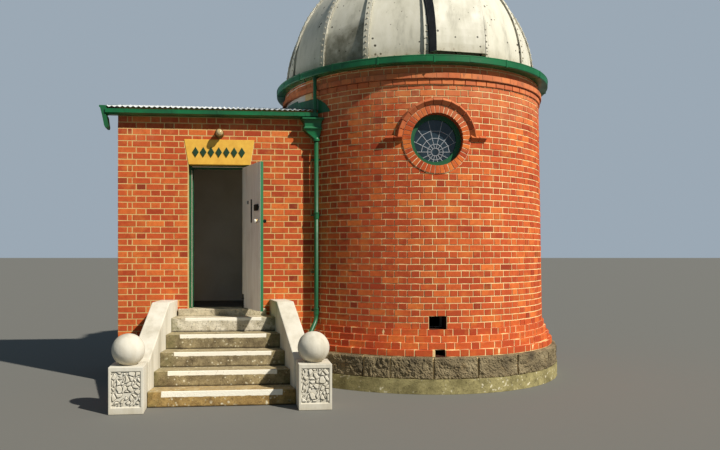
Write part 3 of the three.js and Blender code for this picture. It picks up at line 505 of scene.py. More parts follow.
def step_wear(made, colour, half, high, front, top):
    """Moss at a step's ends, painted shade with dirt at its foot, painted sunlight on its tread and
    a painted strip on its edge.
    """
    sideways = made.sum("ABSOLUTE", made.minus(made.axis("X"), STEPS_X))
    moss = made.times(made.between(sideways, half * 0.92, half * 1.25),
                      made.between(made.noise(9, 5), 0.35, 0.6))
    colour = made.mix(made.times(moss, 0.75), colour, "#5c5a33")
    ragged = made.times(made.minus(made.noise(13, 4), 0.5), 0.02)
    y, low = made.axis("Y"), made.plus(made.minus(made.axis("Z"), top), ragged)
    # Painted shade with dirt: a dark line along the foot of the riser, in the crease.
    shade_and_dirt_at_foot = made.times(made.between(low, -0.186, -0.164, 0.85, 0.0),
                         made.between(y, front + 0.003, front + 0.012, 1, 0))
    colour = made.mix(shade_and_dirt_at_foot, colour, "#231b10")
    # Painted sunlight: the tread top is paler in patches.
    painted_sunlit_tread = made.times(made.between(low, -0.010, -0.004),
                       made.between(made.noise(15, 5), 0.3, 0.5))
    colour = made.mix(made.times(painted_sunlit_tread, 0.45), colour, "#b3a684")
    painted = made.between(made.plus(sideways, ragged), half - 0.004, half + 0.004, 1, 0)
    for limit in (made.inside(low, -high, 0.05, 0.003),
                  made.between(y, front + 0.003, front + 0.008, 1, 0),
                  made.between(made.noise(24, 6, 0.7), 0.62, 0.72, 1.0, 0.35)):
        painted = made.times(painted, limit)
    return made.mix(painted, colour, "#f2ecda")


def concrete_finish(name, dark, light, strip=None):
    """Weathered concrete, and where a strip is given, a step with its wear."""
    made = Finish(name, 0.92, specular=0.25)
    colour = made.ramp(made.noise(5.2, 9, 0.72), (0.34, dark), (0.62, light))
    lichen = made.times(made.between(made.cells(21, "SMOOTH_F1"), 0.14, 0.26, 1.0, 0.0),
                        made.between(made.noise(5, 4), 0.44, 0.56))
    colour = made.mix(made.times(lichen, 0.85), colour, "#ddd4b6")
    colour = made.tint(colour, "#3d3323", made.noise(38, 7, 0.75), 0.54, 0.64, 0.0, 0.7)
    specks = made.cells(85)
    colour = made.tint(colour, "#3f382c", specks, 0.08, 0.22, 0.5, 0.0)
    made.paint(step_wear(made, colour, *strip) if strip else colour)
    made.relief(made.plus(made.noise(60, 6, 0.7), specks), 0.6, 0.004)
    return made.material


bluestone = bluestone_finish()
footing_concrete = concrete_finish("footing_concrete", "#6c6440", "#a89d6c")
sill_concrete = concrete_finish("sill_concrete", "#857b66", "#d0c4a6")
print("stone finishes:", bluestone.name, footing_concrete.name, sill_concrete.name)

# %% Render finishes
PEDESTAL_FRONT = -2.605


def render_finish(name, band_top, low_darkening):
    """Painted render with rain streaks, mould, and a darker colour below a height."""
    made = Finish(name, 0.82, specular=0.3)
    streaks = made.noise(5, 6, 0.6, made.stretched((1, 1, 0.16)))
    colour = made.ramp(streaks, (0.3, "#b5ae9b"), (0.5, "#cdc7b6"), (0.75, "#dad6c8"))
    blotch = made.noise(8, 6, 0.7)
    colour = made.tint(colour, "#b0a68c", blotch, 0.60, 0.78, 0.0, 0.45)
    # Darker below a height, with a ragged edge: splash dirt low on the walls, the lower halves of
    # the balls.
    low_band = made.plus(made.axis("Z"), made.times(made.noise(7, 5), 0.12))
    colour = made.tint(colour, "#94815a", low_band, band_top - 0.18, band_top, low_darkening, 0.0)
    made.paint(made.tint(colour, "#6a6553", made.cells(34), 0.04, 0.14, 0.35, 0.0))
    made.relief(made.plus(made.noise(55, 6, 0.65), blotch), 0.45, 0.004)
    return made.material


def panel_finish():
    """Worn render whose sunk channels are painted dark as shade; -Y is out of the panel."""
    made = Finish("panel_render", 0.85, specular=0.25)
    colour = made.ramp(made.noise(12, 6, 0.65), (0.3, "#c6bea8"), (0.7, "#e4dece"))
    # Painted shade: points deeper than 4 mm in the channels turn dark brown.
    made.paint(made.tint(colour, "#463e2d", made.axis("Y"),
                         PEDESTAL_FRONT + 0.004, PEDESTAL_FRONT + 0.011, 0.0, 0.95))
    made.relief(made.noise(70, 5), 0.4, 0.002)
    return made.material


panel_render = panel_finish()
painted_render = render_finish("painted_render", 0.16, 0.4)
# On the balls the darker band covers the lower half, below 0.72 m.
ball_render = render_finish("ball_render", 0.72, 0.55)
print("render finishes:", painted_render.name, ball_render.name, panel_render.name)

# %% [markdown]
# ## Paint on metal and timber
# The dome is sheet metal under old cream paint. Its wear is what makes it look real: grey streaks
# that run down, dark pocks, grime along the foot, and one gore left of the slit with a broad dark
# stain. The gutters and pipes are a fresh green enamel, glossy with faded patches. Brass, steel and
# glass need little more than the right shader numbers and a few scratches.

# %% Dome paint
STAIN_AZIMUTH = -41.8
STAIN_HALF = math.tan(math.radians(10.7))


def dome_finish():
    made = Finish("dome_paint", 0.62, specular=0.35)
    z = made.axis("Z")
    streaks = made.noise(7, 7, 0.62, made.stretched((1, 1, 0.22)))
    colour = made.ramp(streaks, (0.25, "#a9a696"), (0.46, "#d0ccb9"), (0.8, "#dfdbcb"))
    colour = made.tint(colour, "#b0ad98", made.noise(2.1, 6, 0.6), 0.52, 0.75, 0.0, 0.5)
    size = made.between(made.noise(4, 2), 0.35, 0.65, 0.05, 0.19)
    spot = made.times(made.sum("LESS_THAN", made.cells(9.5), size),
                      made.between(made.noise(23, 3), 0.38, 0.46))
    colour = made.mix(made.times(spot, 0.95), colour, "#3f3b2e")
    size = made.between(made.noise(5, 3), 0.45, 0.7, 0.0, 0.2)
    fine = made.sum("LESS_THAN", made.cells(31), size)
    colour = made.mix(made.times(fine, 0.5), colour, "#6d6855")
    rim = made.plus(z, made.times(made.noise(11, 5), 0.16))
    colour = made.tint(colour, "#91865e", rim, 4.56, 4.72, 0.38, 0.0)
    rust = made.times(made.between(made.noise(19, 6, 0.7), 0.56, 0.64),
                      made.between(rim, 4.57, 4.66, 0.8, 0.0))
    colour = made.mix(rust, colour, "#6b4d28")
    across = made.off(DOME_AXIS, out_of_tower(STAIN_AZIMUTH + 90))
    forward = made.off(DOME_AXIS, out_of_tower(STAIN_AZIMUTH))
    past_rib = made.minus(made.sum("ABSOLUTE", across), made.times(forward, STAIN_HALF))
    stain = made.times(made.between(past_rib, -0.045, -0.030, 1.0, 0.0),
                       made.between(forward, 0.7, 0.9))
    ragged = made.plus(z, made.times(made.noise(3.1, 6, 0.6), 0.30))
    ragged = made.minus(ragged, made.times(across, 0.25))
    stain = made.times(stain, made.between(ragged, 5.06, 5.20, 1.0, 0.0))
    stain = made.times(stain, made.between(made.noise(6.3, 7, 0.65), 0.34, 0.60, 0.45, 1))
    colour = made.mix(made.times(stain, 0.85), colour, "#66634e")
    made.paint(colour, made.between(streaks, 0.3, 0.7, 0.75, 0.5))
    made.relief(made.plus(made.noise(30, 5), made.times(spot, -0.6)), 0.25, 0.003)
    return made.material


def enamel_finish(name, dark, light, roughness):
    made = Finish(name, roughness)
    fade = made.noise(3.5, 5, 0.6)
    colour = made.ramp(fade, (0.3, dark), (0.7, light))
    colour = made.tint(colour, "#7f9478", made.noise(17, 6, 0.7), 0.60, 0.78, 0.0, 0.25)
    chip = made.times(made.between(made.cells(60), 0.03, 0.08, 1, 0),
                      made.between(made.noise(6, 3), 0.55, 0.65))
    made.paint(made.mix(chip, colour, "#3d4338"),
               made.between(fade, 0.3, 0.7, roughness + 0.12, roughness - 0.06))
    made.relief(made.noise(45, 4), 0.15, 0.002)
    return made.material


dome_paint = dome_finish()
green_enamel = enamel_finish("green_enamel", "#0b5230", "#1b7444", 0.32)
pipe_enamel = enamel_finish("pipe_enamel", "#0a4527", "#145f37", 0.45)
green_timber = enamel_finish("green_timber", "#0b4b2b", "#17673b", 0.45)
print("paint finishes:", dome_paint.name, green_enamel.name, green_timber.name)

# %% Small metals, glass, boards and sheet
def plain_finish(name, dark, light, roughness, metallic=0.0, scale=12.0, stretch=(1, 1, 1),
                 bump=0.2):
    """Two colours in noise, with roughness and bump from the same noise."""
    made = Finish(name, roughness, metallic)
    grain = made.noise(scale, 6, 0.62, made.stretched(stretch))
    made.paint(made.ramp(grain, (0.3, dark), (0.7, light)),
               made.between(grain, 0.3, 0.7, roughness + 0.1, roughness - 0.08))
    made.relief(grain, bump, 0.002)
    return made.material


lintel_paint = plain_finish("lintel_paint", "#d9a233", "#f0bd48", 0.55, scale=9)
track_steel = plain_finish("track_steel", "#4d5257", "#757b80", 0.45, 0.7, 30)
brass = plain_finish("worn_brass", "#8a6a33", "#c9a75b", 0.3, 0.9, 40)
lead = plain_finish("window_lead", "#7f858a", "#b9bec2", 0.5, 0.3, 60)
black_iron = plain_finish("black_iron", "#16130f", "#2c2620", 0.5, 0.4, 50)
lamp_metal = plain_finish("lamp_metal", "#4c3719", "#80602c", 0.45, 0.2, 25)
roof_sheet = plain_finish("roof_sheet", "#d0d3d2", "#f2f3f0", 0.42, 0.15, 5, (1, 0.4, 1))
floor_boards = plain_finish("floor_boards", "#4a3f31", "#6f604a", 0.7, 0, 14, (6, 0.5, 1), 0.4)
floor_paving = plain_finish("floor_paving", "#474542", "#605d58", 0.8, 0, 6, bump=0.3)
ornament_green = plain_finish("ornament_green", "#0c2c14", "#174622", 0.5, scale=30)
# A dark grey laid over the shutter's sides as painted shade.
shutter_shade_grey = plain_finish("shutter_shade_grey", "#3b3739", "#565153", 0.6, scale=8)
leaf_white = plain_finish("bead_white", "#c9c0ae", "#ece6d8", 0.5, scale=20)
bolt_paint = plain_finish("bolt_paint", "#8c826a", "#d9d3bd", 0.6, scale=45)
lamp_glass = plain_finish("lamp_glass", "#a4884f", "#d9c69b", 0.12, scale=14)
glass = Finish("window_pane", 0.06, specular=0.8)
glass.paint(glass.ramp(glass.noise(5, 4), (0.3, "#1b262c"), (0.7, "#2f3f49")))
glass.relief(glass.noise(9, 2), 0.12, 0.004)
window_pane = glass.material
print("small finishes ready")

# %% [markdown]
# ## Finishes on the solids
# Each solid names its material slot in the record. Most take the finish of their slot, and the few
# that need another are listed after. The door leaf is white inside and green on its edges and
# outside: its finish measures how far a point lies through the leaf's thickness. The ring of brick
# round the window shows mortar on its face and brick in its hole, so it measures the distance from
# the window's axis.

# %% Door and window ring finishes
HINGE = Vector((-1.4445, -0.709, 0))
OPEN = math.radians(107)
LEAF_INSIDE = -0.647
through_leaf = Vector((-math.sin(OPEN), math.cos(OPEN), 0))
on_leaf = Matrix.Translation(HINGE) @ Matrix.Rotation(OPEN, 4, "Z") @ Matrix.Translation(-HINGE)


def two_sides(made, outside, inside):
    """Picks one of two colours by the depth through the open leaf."""
    depth = made.plus(made.along(through_leaf), HINGE.y - HINGE.dot(through_leaf))
    return made.mix(made.between(depth, LEAF_INSIDE - 0.002, LEAF_INSIDE - 0.001), outside, inside)


def leaf_finish():
    made = Finish("door_paint", 0.55)
    brush = made.noise(13, 5, 0.6, made.stretched((1, 1, 0.12)))
    inner = made.ramp(brush, (0.3, "#e6ddd2"), (0.7, "#faf5ec"))
    inner = made.tint(inner, "#b8ae9d", made.noise(3, 5), 0.55, 0.8, 0, 0.4)
    outer = made.ramp(brush, (0.3, "#0d5531"), (0.7, "#1b7a47"))
    made.paint(two_sides(made, outer, inner))
    made.relief(brush, 0.2, 0.002)
    return made.material


def knob_finish():
    made = Finish("door_knobs", 0.25, specular=0.6)
    grain = made.noise(90, 4)
    iron = made.ramp(grain, (0.3, "#14110e"), (0.7, "#2b2622"))
    china = made.ramp(grain, (0.3, "#e3ddd0"), (0.7, "#f6f3ea"))
    made.paint(two_sides(made, iron, china))
    made.relief(grain, 0.1, 0.001)
    return made.material


def ring_finish():
    made = Finish("window_ring", 0.9, specular=0.2)
    side = made.off(AXIS, out_of_tower(WINDOW_AZIMUTH + 90))
    square = made.squares(side, made.minus(made.axis("Z"), WINDOW_Z))
    grain = made.noise(30, 5)
    hole = made.ramp(grain, (0.3, "#8d3f22"), (0.7, "#b55a30"))
    mortar = made.ramp(grain, (0.3, "#d6bb8c"), (0.7, "#fbe6bf"))
    made.paint(made.mix(made.between(square, RING_HOLE ** 2, (RING_HOLE + 0.002) ** 2),
                        hole, mortar))
    made.relief(grain, 0.4, 0.002)
    return made.material


leaf_paint = leaf_finish()
ring_mortar = ring_finish()
knob_glaze = knob_finish()
print("leaf, knob and ring finishes ready")

# %% Hand out the finishes
by_slot = {
    "brick": tower_mortar, "bluestone": bluestone, "concrete": footing_concrete,
    "render": painted_render, "lintel_paint": lintel_paint, "dome_paint": dome_paint,
    "green_metal": green_enamel, "green_timber": green_timber, "door_paint": leaf_paint,
    "floor_boards": floor_boards, "floor_paving": floor_paving, "track_steel": track_steel,
    "roof_sheet": roof_sheet, "knob_brass": brass, "lamp_metal": lamp_metal,
    "window_pane": window_pane,
}
by_node = {"window_ring": ring_mortar, "hood_mould": moulded_brick, "door_threshold": sill_concrete,
           "string_course": moulded_brick, "door_knobs": knob_glaze}
for row in frame["record"]["subparts"]:
    name = row["node"]
    finish = by_node.get(name, by_slot[row["material_slot"]])
    if name.startswith("porch_") and row["material_slot"] == "brick":
        finish = porch_mortar
    for place in frame["nodes"][name].material_slots:
        place.material = finish

# %% [markdown]
# ## Laying bricks
# The walls are laid in Flemish bond, a long stretcher and a short header in turn, and each course
# shifts by half a pair so that headers sit over the middle of stretchers. A brick texture can't do
# that on a curved, leaning wall with holes, so each brick is real. A brick starts as one flat face
# on the wall. All the faces of a wall are then pushed out together with extrude_discrete_faces, and
# inset_individual softens every arris. That gives nine faces a brick and takes seconds for
# thousands.

# %% Brick helpers
JITTER, PUSH_JITTER = 0.0013, 0.0008
FIRING, FIRING_SPREAD = 0.60, 0.19
HEADER_PLUM, PORCH_HEADER_PLUM = 0.14, 0.12


def start_bricks():
    """An empty wall, with the number that each brick's firing colour comes from."""
    shape = bmesh.new()
    return shape, shape.verts.layers.float.new("tone")


def lay(shape, tone, corners, plum=0.0):
    """One brick as a flat face, its corners anticlockwise seen from outside."""
    shade = min(1.0, max(0.0, random.gauss(FIRING - plum, FIRING_SPREAD)))
    verts = []
    for corner in corners:
        wobble = Vector([random.uniform(-JITTER, JITTER) for _ in range(3)])
        vert = shape.verts.new(corner + wobble)
        vert[tone] = shade
        verts.append(vert)
    shape.faces.new(verts)


def push_out(shape, deep, proud, arris=0.0014):
    """Turns the flat faces into blocks from a depth inside the wall to just proud of it."""
    shape.normal_update()
    for face in shape.faces:
        bury = face.normal * -deep
        for vert in face.verts:
            vert.co += bury
    tops = bmesh.ops.extrude_discrete_faces(shape, faces=shape.faces[:])["faces"]
    for face in tops:
        face.normal_update()
        rise = face.normal * (deep + proud - arris + random.uniform(-PUSH_JITTER, PUSH_JITTER))
        for vert in face.verts:
            vert.co += rise
    bmesh.ops.inset_individual(shape, faces=tops, thickness=arris, depth=arris,
                               use_even_offset=True)


def flemish(start, end, pair, stretcher=0.66):
    """The ends of each brick of one course, stretcher and header in turn."""
    position = start
    while position < end:
        for share, header in ((stretcher, False), (1 - stretcher, True)):
            left, right = position, min(position + share * pair, end)
            if right - left > 0.09 * pair:
                yield left, right, header
            position += share * pair


def without(left, right, gaps):
    """What is left of a span after some gaps are taken out."""
    spans = [(left, right)]
    for low, high in gaps:
        kept = []
        for a, b in spans:
            kept += [(a, min(b, low)), (max(a, high), b)]
        spans = [(a, b) for a, b in kept if b - a > 1e-6]
    return spans


print("brick helpers ready")

# %% [markdown]
# ### The tower's bricks
# On the tower a brick's ends are azimuths. Its face is flat and lies on the chord between them, as
# a straight brick does in a round wall. The courses stop at the window's ring, at the vents and
# behind the porch, but go on above the porch roof.

# %% Tower wall
PAIRS = 38
PAIR = 360 / PAIRS
RING_CUT = 0.405
PORCH_MEETS = (-107.5, -55.6)
ROOF_SLOPE = math.tan(math.radians(12.6))
EAVES_Y, EAVES_Z = -0.845, 3.872


def roof_top(y):
    """Height of the top of the porch roof at a depth."""
    return EAVES_Z + (y - EAVES_Y) * ROOF_SLOPE


def tower_brick(shape, tone, left, right, low, high, extra=0.0, plum=0.0, radius=None):
    """A brick of the round wall between two azimuths and two heights."""
    bottom, top = (radius, radius) if radius else (wall_radius(low), wall_radius(high))
    corners = [on_wall(left, bottom + extra, low), on_wall(right, bottom + extra, low),
               on_wall(right, top + extra, high), on_wall(left, top + extra, high)]
    lay(shape, tone, corners, plum)


def round_gaps(low, high, radius, holes):
    """Spans of azimuth that the window and the vents take out of a course."""
    gaps = []
    nearest = max(low - WINDOW_Z, WINDOW_Z - high, 0)
    if nearest < RING_CUT:
        half = math.degrees(math.sqrt(RING_CUT ** 2 - nearest ** 2) / radius)
        gaps.append((WINDOW_AZIMUTH - half, WINDOW_AZIMUTH + half))
    for half, bottom, top in holes:
        if low < top - 0.01 and high > bottom + 0.01:
            half = math.degrees((half + JOINT / 2) / radius)
            gaps.append((WINDOW_AZIMUTH - half, WINDOW_AZIMUTH + half))
    return gaps


def behind_porch(left, right, high):
    """True where the porch hides the tower's outside."""
    middle = (left + right) / 2
    hidden_below = roof_top(on_wall(middle, 2.0, 0).y) - 0.02
    return PORCH_MEETS[0] < middle < PORCH_MEETS[1] and high < hidden_below


def lay_ring(shape, tone, low, high, shift, holes=(), radius=None):
    """One whole course round the tower."""
    surface = radius or wall_radius(low)
    gap = math.degrees(JOINT / surface)
    gaps = round_gaps(low, high, surface, holes)
    for start, end, header in flemish(-180 - shift, 180 - shift, PAIR):
        if behind_porch(start, end, high):
            continue
        for left, right in without(start, end, gaps):
            if right - left > 2.2 * gap:
                tower_brick(shape, tone, left + gap / 2, right - gap / 2, low, high, 0.0,
                            HEADER_PLUM if header else 0.0, radius)


WALL_TOP = 4.060
HALF_PAIRS = (0, PAIR / 2)
TOP_COURSES = ((4.221, 4.289, 2.0), (4.301, 4.324, 6.0))
wall, tone = start_bricks()
for row in range(math.ceil((WALL_TOP - FLARE_TOP) / COURSE)):
    low = FLARE_TOP + row * COURSE + JOINT / 2
    high = min(low + COURSE - JOINT, WALL_TOP - JOINT / 2)
    lay_ring(wall, tone, low, high, HALF_PAIRS[row % 2] + 1.1, [VENT])
for low, high, shift in TOP_COURSES:
    lay_ring(wall, tone, low, high, shift)
push_out(wall, 0.012, 0.0040)
piece("tower_bricks", wall, "building", facing_brick)

# %% [markdown]
# ### Flared foot, string course and corbel
# Below, four courses step out to the plinth, and their bricks show a strip of their upper beds.
# Those blocks start deeper in the wall, so the extrusion covers each ledge. A course and a half
# below the ring gutter runs a string course of brick, with a corbel course half as far out below
# it. The roof's flashing covers the corbel behind the porch.

# %% Flared courses
FLARE_RADII = (2.190, 2.145, 2.105, 2.075)
foot, tone = start_bricks()
for row, radius in enumerate(FLARE_RADII):
    low = PLINTH_TOP + row * COURSE + JOINT / 2
    lay_ring(foot, tone, low, low + COURSE - JOINT / 2 + 0.001, HALF_PAIRS[row % 2] + 3.3,
             [LOW_VENT], radius)
push_out(foot, 0.050, 0.003, 0.003)
piece("flared_bricks", foot, "building", facing_brick)

# %% String course and corbel
STRING_RADIUS, STRING_Z = 2.040, (4.144, 4.211)
CORBEL_PROUD, CORBEL_Z = 0.018, (4.066, 4.137)
UNDER_FLASHING = (-112, -60)
EDGE_BRICKS, EDGE_JOINT = 78, 0.14
step = 360 / EDGE_BRICKS
band, tone = start_bricks()
for number in range(EDGE_BRICKS):
    left, right = -180 + number * step + EDGE_JOINT, -180 + (number + 1) * step - EDGE_JOINT
    tower_brick(band, tone, left, right, *STRING_Z, radius=STRING_RADIUS)
    left, right = left + step / 2, right + step / 2
    if not UNDER_FLASHING[0] < left - EDGE_JOINT < UNDER_FLASHING[1]:
        tower_brick(band, tone, left, right, *CORBEL_Z, extra=CORBEL_PROUD)
push_out(band, 0.044, 0.003, 0.003)
piece("string_bricks", band, "building", facing_brick)

# %% [markdown]
# ### Ring of bricks round the window
# Forty-two bricks stand on edge round the opening. Each is a wedge, so its four corners come from
# two radii and two angles about the window's centre, wrapped onto the round wall. The hood mould
# over it has longer moulded bricks of a duller clay. Their faces slant out from the window, so the
# ones on the right turn away from the sun, as in the photo.

# %% Window ring and hood bricks
def around_window(radius, angle, proud):
    """A place on the wall at a radius and an angle about the window's centre."""
    side = radius * math.cos(angle)
    z = WINDOW_Z + radius * math.sin(angle)
    surface = wall_radius(z)
    return on_wall(WINDOW_AZIMUTH + math.degrees(side / surface), surface + proud, z)


def wedge_brick(shape, tone, inner, outer, start, end, proud, joint, lip=None):
    """A wedge-shaped brick; with a lip its face slants out to its outer end."""
    a, b = start + joint / 2 / outer, end - joint / 2 / outer
    c, d = start + joint / 2 / inner, end - joint / 2 / inner
    lip = lip or proud
    lay(shape, tone, [around_window(inner, d, proud), around_window(inner, c, proud),
                      around_window(outer, a, lip), around_window(outer, b, lip)])


RING_BRICKS, RING_OUTER = 42, 0.456
ring, tone = start_bricks()
for number in range(RING_BRICKS):
    start, end = (math.tau * k / RING_BRICKS for k in (number, number + 1))
    wedge_brick(ring, tone, RING_HOLE, RING_OUTER, start, end, 0.012, 0.008)
push_out(ring, 0.010, 0.004, 0.003)
piece("window_ring_bricks", ring, "building", facing_brick)

HOOD_BRICKS, HOOD_START = 13, 0.056
HOOD_INNER, HOOD_OUTER = 0.462, 0.518
HOOD_LIP, HOOD_ROOT = 0.062, 0.012
HOOD_ARC = (math.pi - 2 * HOOD_START) / HOOD_BRICKS
LABEL_ENDS = ((0.463, 0.572), (0.580, 0.688))
LABEL_Z = (3.3075, 3.3605)
hood, tone = start_bricks()
for number in range(HOOD_BRICKS):
    start = HOOD_START + HOOD_ARC * number
    wedge_brick(hood, tone, HOOD_INNER, HOOD_OUTER, start, start + HOOD_ARC, HOOD_ROOT, 0.006,
                HOOD_LIP)
for side in (-1, 1):
    for near, far in LABEL_ENDS:
        left, right = sorted((side * near, side * far))
        low, high = LABEL_Z
        corners = [on_wall(WINDOW_AZIMUTH + math.degrees(s / 2.03), wall_radius(z) + proud, z)
                   for s, z, proud in ((left, low, HOOD_ROOT), (right, low, HOOD_ROOT),
                                       (right, high, HOOD_LIP), (left, high, HOOD_LIP))]
        lay(hood, tone, corners, 0.1)
push_out(hood, 0.050, 0.002, 0.004)
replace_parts(piece("hood_bricks", hood, "building", moulded_brick), "hood_mould")

# %% [markdown]
# ### The porch's bricks
# On the porch a brick's ends are lengths along a straight wall. Its bond is a little longer than
# the tower's, and a narrow closer beside the corner header starts every second course. Each wall
# is given as a start point, a direction along it seen from outside, and a length. The front wall
# leaves out the doorway and the painted lintel, which widens upwards.

# %% Porch walls
PORCH_PAIR = 0.388
LONG, SHORT, CLOSER = 0.655 * PORCH_PAIR, 0.345 * PORCH_PAIR, 0.066
LEFTOVER = 0.03
DOOR_SIDES = (-2.262, -1.397)
LINTEL_BAND = (3.073, 3.428, 0.063)
EDGE = 0.004
ROOF_THICKNESS = 0.020
COURSES = math.ceil((4.3 - PLINTH_TOP) / COURSE)


def straight_course(length, starts_with_header):
    """Brick ends along a straight course from a corner."""
    ends = [0.0]
    if starts_with_header:
        ends += [SHORT, SHORT + CLOSER]
    while ends[-1] < length:
        ends += [ends[-1] + LONG, ends[-1] + LONG + SHORT]
    return [(a, min(b, length)) for a, b in zip(ends, ends[1:]) if min(b, length) - a > LEFTOVER]


def front_gap(low, high):
    """The doorway and the lintel, as lengths from the front wall's left corner."""
    middle = (low + high) / 2
    bottom, top, flare = LINTEL_BAND
    if middle > top:
        return []
    wider = flare * max(0, (middle - bottom) / (top - bottom))
    edge = PORCH_LEFT - EDGE
    return [(DOOR_SIDES[0] - wider - edge - JOINT / 2, DOOR_SIDES[1] + wider - edge + JOINT / 2)]


def lay_straight(shape, tone, corner, along, length, phase, gaps=None):
    """Fills one straight wall with bricks up to the roof."""
    for row in range(COURSES):
        low = PLINTH_TOP + row * COURSE + JOINT / 2
        high = low + COURSE - JOINT
        for start, end in straight_course(length, (row + phase) % 2 == 1):
            for left, right in without(start, end, gaps(low, high) if gaps else []):
                left, right = left + JOINT / 2, right - JOINT / 2
                middle = corner + along * (left + right) / 2
                limit = roof_top(middle.y) - ROOF_THICKNESS - 0.012
                if right - left < 0.02 or low > limit - 0.015:
                    continue
                header = end - start < 0.16
                base, size = corner + UP * low, min(high, limit) - low
                corners = [base + along * left, base + along * right,
                           base + along * right + UP * size, base + along * left + UP * size]
                lay(shape, tone, corners, PORCH_HEADER_PLUM if header else 0.0)


PORCH_WALLS = (
    ((PORCH_LEFT - EDGE, FRONT, 0), (1, 0, 0), 2.80, 0, front_gap),
    ((PORCH_LEFT, PORCH_BACK + EDGE, 0), (0, -1, 0), 1.738, 1, None),
    ((-0.72, PORCH_BACK, 0), (-1, 0, 0), 2.519, 0, None),
)
porch, tone = start_bricks()
for corner, along, length, phase, gaps in PORCH_WALLS:
    lay_straight(porch, tone, Vector(corner), Vector(along), length, phase, gaps)
push_out(porch, 0.012, 0.0022)
piece("porch_bricks", porch, "building", facing_brick)

# %% [markdown]
# ## Softened arrises
# Old steps and rendered walls have no sharp edge left. Where a solid is only planes, its mesh is
# copied, coplanar triangles are dissolved, and the edges that remain are bevelled. The copy then
# stands for the solid in the picture, while the solid stays for the collisions. A step is given by
# half the length of its painted strip, the strip's height, and its own two shades.

# %% Steps, walls and sills with worn edges
STEP_GOING, STEP_RISE, FIRST_STEP_Y = 0.28, 0.189, -2.295
STRIPS = ((0.720, 0.068, "#755a33", "#b7975c"), (0.670, 0.056, "#5e4f37", "#a7966e"),
          (0.616, 0.052, "#5d503a", "#a99974"), (0.564, 0.050, "#594c37", "#9f906c"),
          (0.513, 0.040, "#a1967c", "#ddd5c0"))


def soften(node, width, finish):
    """A copy of a flat-sided solid with bevelled edges, which replaces it in the picture."""
    shape = bmesh.new()
    shape.from_mesh(frame["nodes"][node].data)
    bmesh.ops.transform(shape, matrix=frame["nodes"][node].matrix_world, verts=shape.verts)
    bmesh.ops.remove_doubles(shape, verts=shape.verts, dist=0.0001)
    bmesh.ops.dissolve_limit(shape, angle_limit=math.radians(2), use_dissolve_boundaries=False,
                             verts=shape.verts, edges=shape.edges, delimit=set())
    sharp = [e for e in shape.edges if len(e.link_faces) == 2 and e.calc_face_angle(0) > 0.3]
    bmesh.ops.bevel(shape, geom=sharp, offset=width, offset_type="OFFSET", segments=2,
                    profile=0.5, affect="EDGES", material=-1, clamp_overlap=True)
    bmesh.ops.recalc_face_normals(shape, faces=shape.faces)
    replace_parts(piece(node + "_worn", shape, "building", finish), node)


for number, (half, high, dark, light) in enumerate(STRIPS):
    front, top = FIRST_STEP_Y + STEP_GOING * number, STEP_RISE * (number + 1)
    finish = concrete_finish(f"step_{number + 1}_concrete", dark, light, (half, high, front, top))
    soften(f"step_{number + 1}", 0.007, finish)
for side in ("left", "right"):
    soften(f"cheek_wall_{side}", 0.012, painted_render)
    soften(f"pedestal_{side}", 0.006, painted_render)
soften("door_threshold", 0.008, sill_concrete)
soften("porch_lintel", 0.004, lintel_paint)

# %% [markdown]
# ## Rock-faced stones
# The plinth is of bluestone blocks with a rough split face. Each block is a grid whose inner points
# stand out by noise, while its border dips into a ring of mortar behind, which shows in the joints,
# and a last row folds over its top. The places of the joints at the front were read from the photo,
# and the rest go on at the same pitch.

# %% Plinth stones
STONE_MOST, STONE_SUNK = 0.035, 0.014


def rock_face(shape, place, columns, rows, proud, seed, lid=0.0):
    """A rough block face; place(u, v, out) says where a point of it lies."""
    grid = []
    for i in range(columns + 1):
        line = []
        for j in range(rows + 1):
            u, v = i / columns, j / rows
            edge = min(i, columns - i, j, rows - j)
            lump = noise.noise(Vector((u * 2.6 + seed * 3.1, v * 1.7, seed * 0.7)))
            split = noise.noise(Vector((u * 9 + seed, v * 5, seed * 1.3)))
            facet = noise.voronoi(Vector((u * 5 + seed, v * 3, seed * 2.1)))[0][0]
            chisel = noise.noise(Vector((u * 24 + v * 8, v * 9 - u * 5, seed)))
            out = proud * (0.35 + 0.5 * lump + 0.45 * split + 0.5 * facet + 0.35 * chisel)
            out = min(STONE_MOST, out) * min(1.0, 0.45 + 0.35 * edge)
            out = max(0.001, out) if edge else -STONE_SUNK
            line.append(shape.verts.new(place(u, v, out)))
        if lid:
            line.append(shape.verts.new(place(u, 1, -lid)))
        grid.append(line)
    add_net(shape, grid)


STONE_PITCH = 15.9
STONE_GAP = 0.15
STONE_RADIUS = 2.234
STONE_FOOT, STONE_HIGH = 0.183, 0.285
STONE_JOINTS = [-45.5, -30.0, -20.8, -6.6, 8.8, 25.4, 45.8]
LAST_JOINT = 256.5
while STONE_JOINTS[-1] < LAST_JOINT - 18.5:
    STONE_JOINTS.append(STONE_JOINTS[-1] + STONE_PITCH)
STONE_JOINTS.append(LAST_JOINT)
stones = bmesh.new()
for number, (start, end) in enumerate(zip(STONE_JOINTS, STONE_JOINTS[1:])):
    def round_place(u, v, out):
        azimuth = start + STONE_GAP + u * (end - start - 2 * STONE_GAP)
        return on_wall(azimuth, STONE_RADIUS + out, STONE_FOOT + v * STONE_HIGH)
    columns = max(16, round((end - start) * 4))
    rock_face(stones, round_place, columns, 22, 0.032, number + 1, 0.06)
piece("plinth_stones", stones, "building", bluestone)
core = bmesh.new()
INSIDE, OUTSIDE = 1.70, STONE_RADIUS - 0.010
add_turned(core, [(INSIDE, 0.181), (OUTSIDE, 0.181), (OUTSIDE, 0.463), (INSIDE, 0.463),
                  (INSIDE, 0.181)], AT_AXIS, FULL_TURN)
close_up(core)
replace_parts(piece("plinth_mortar", core, "building", tower_mortar), "tower_plinth")

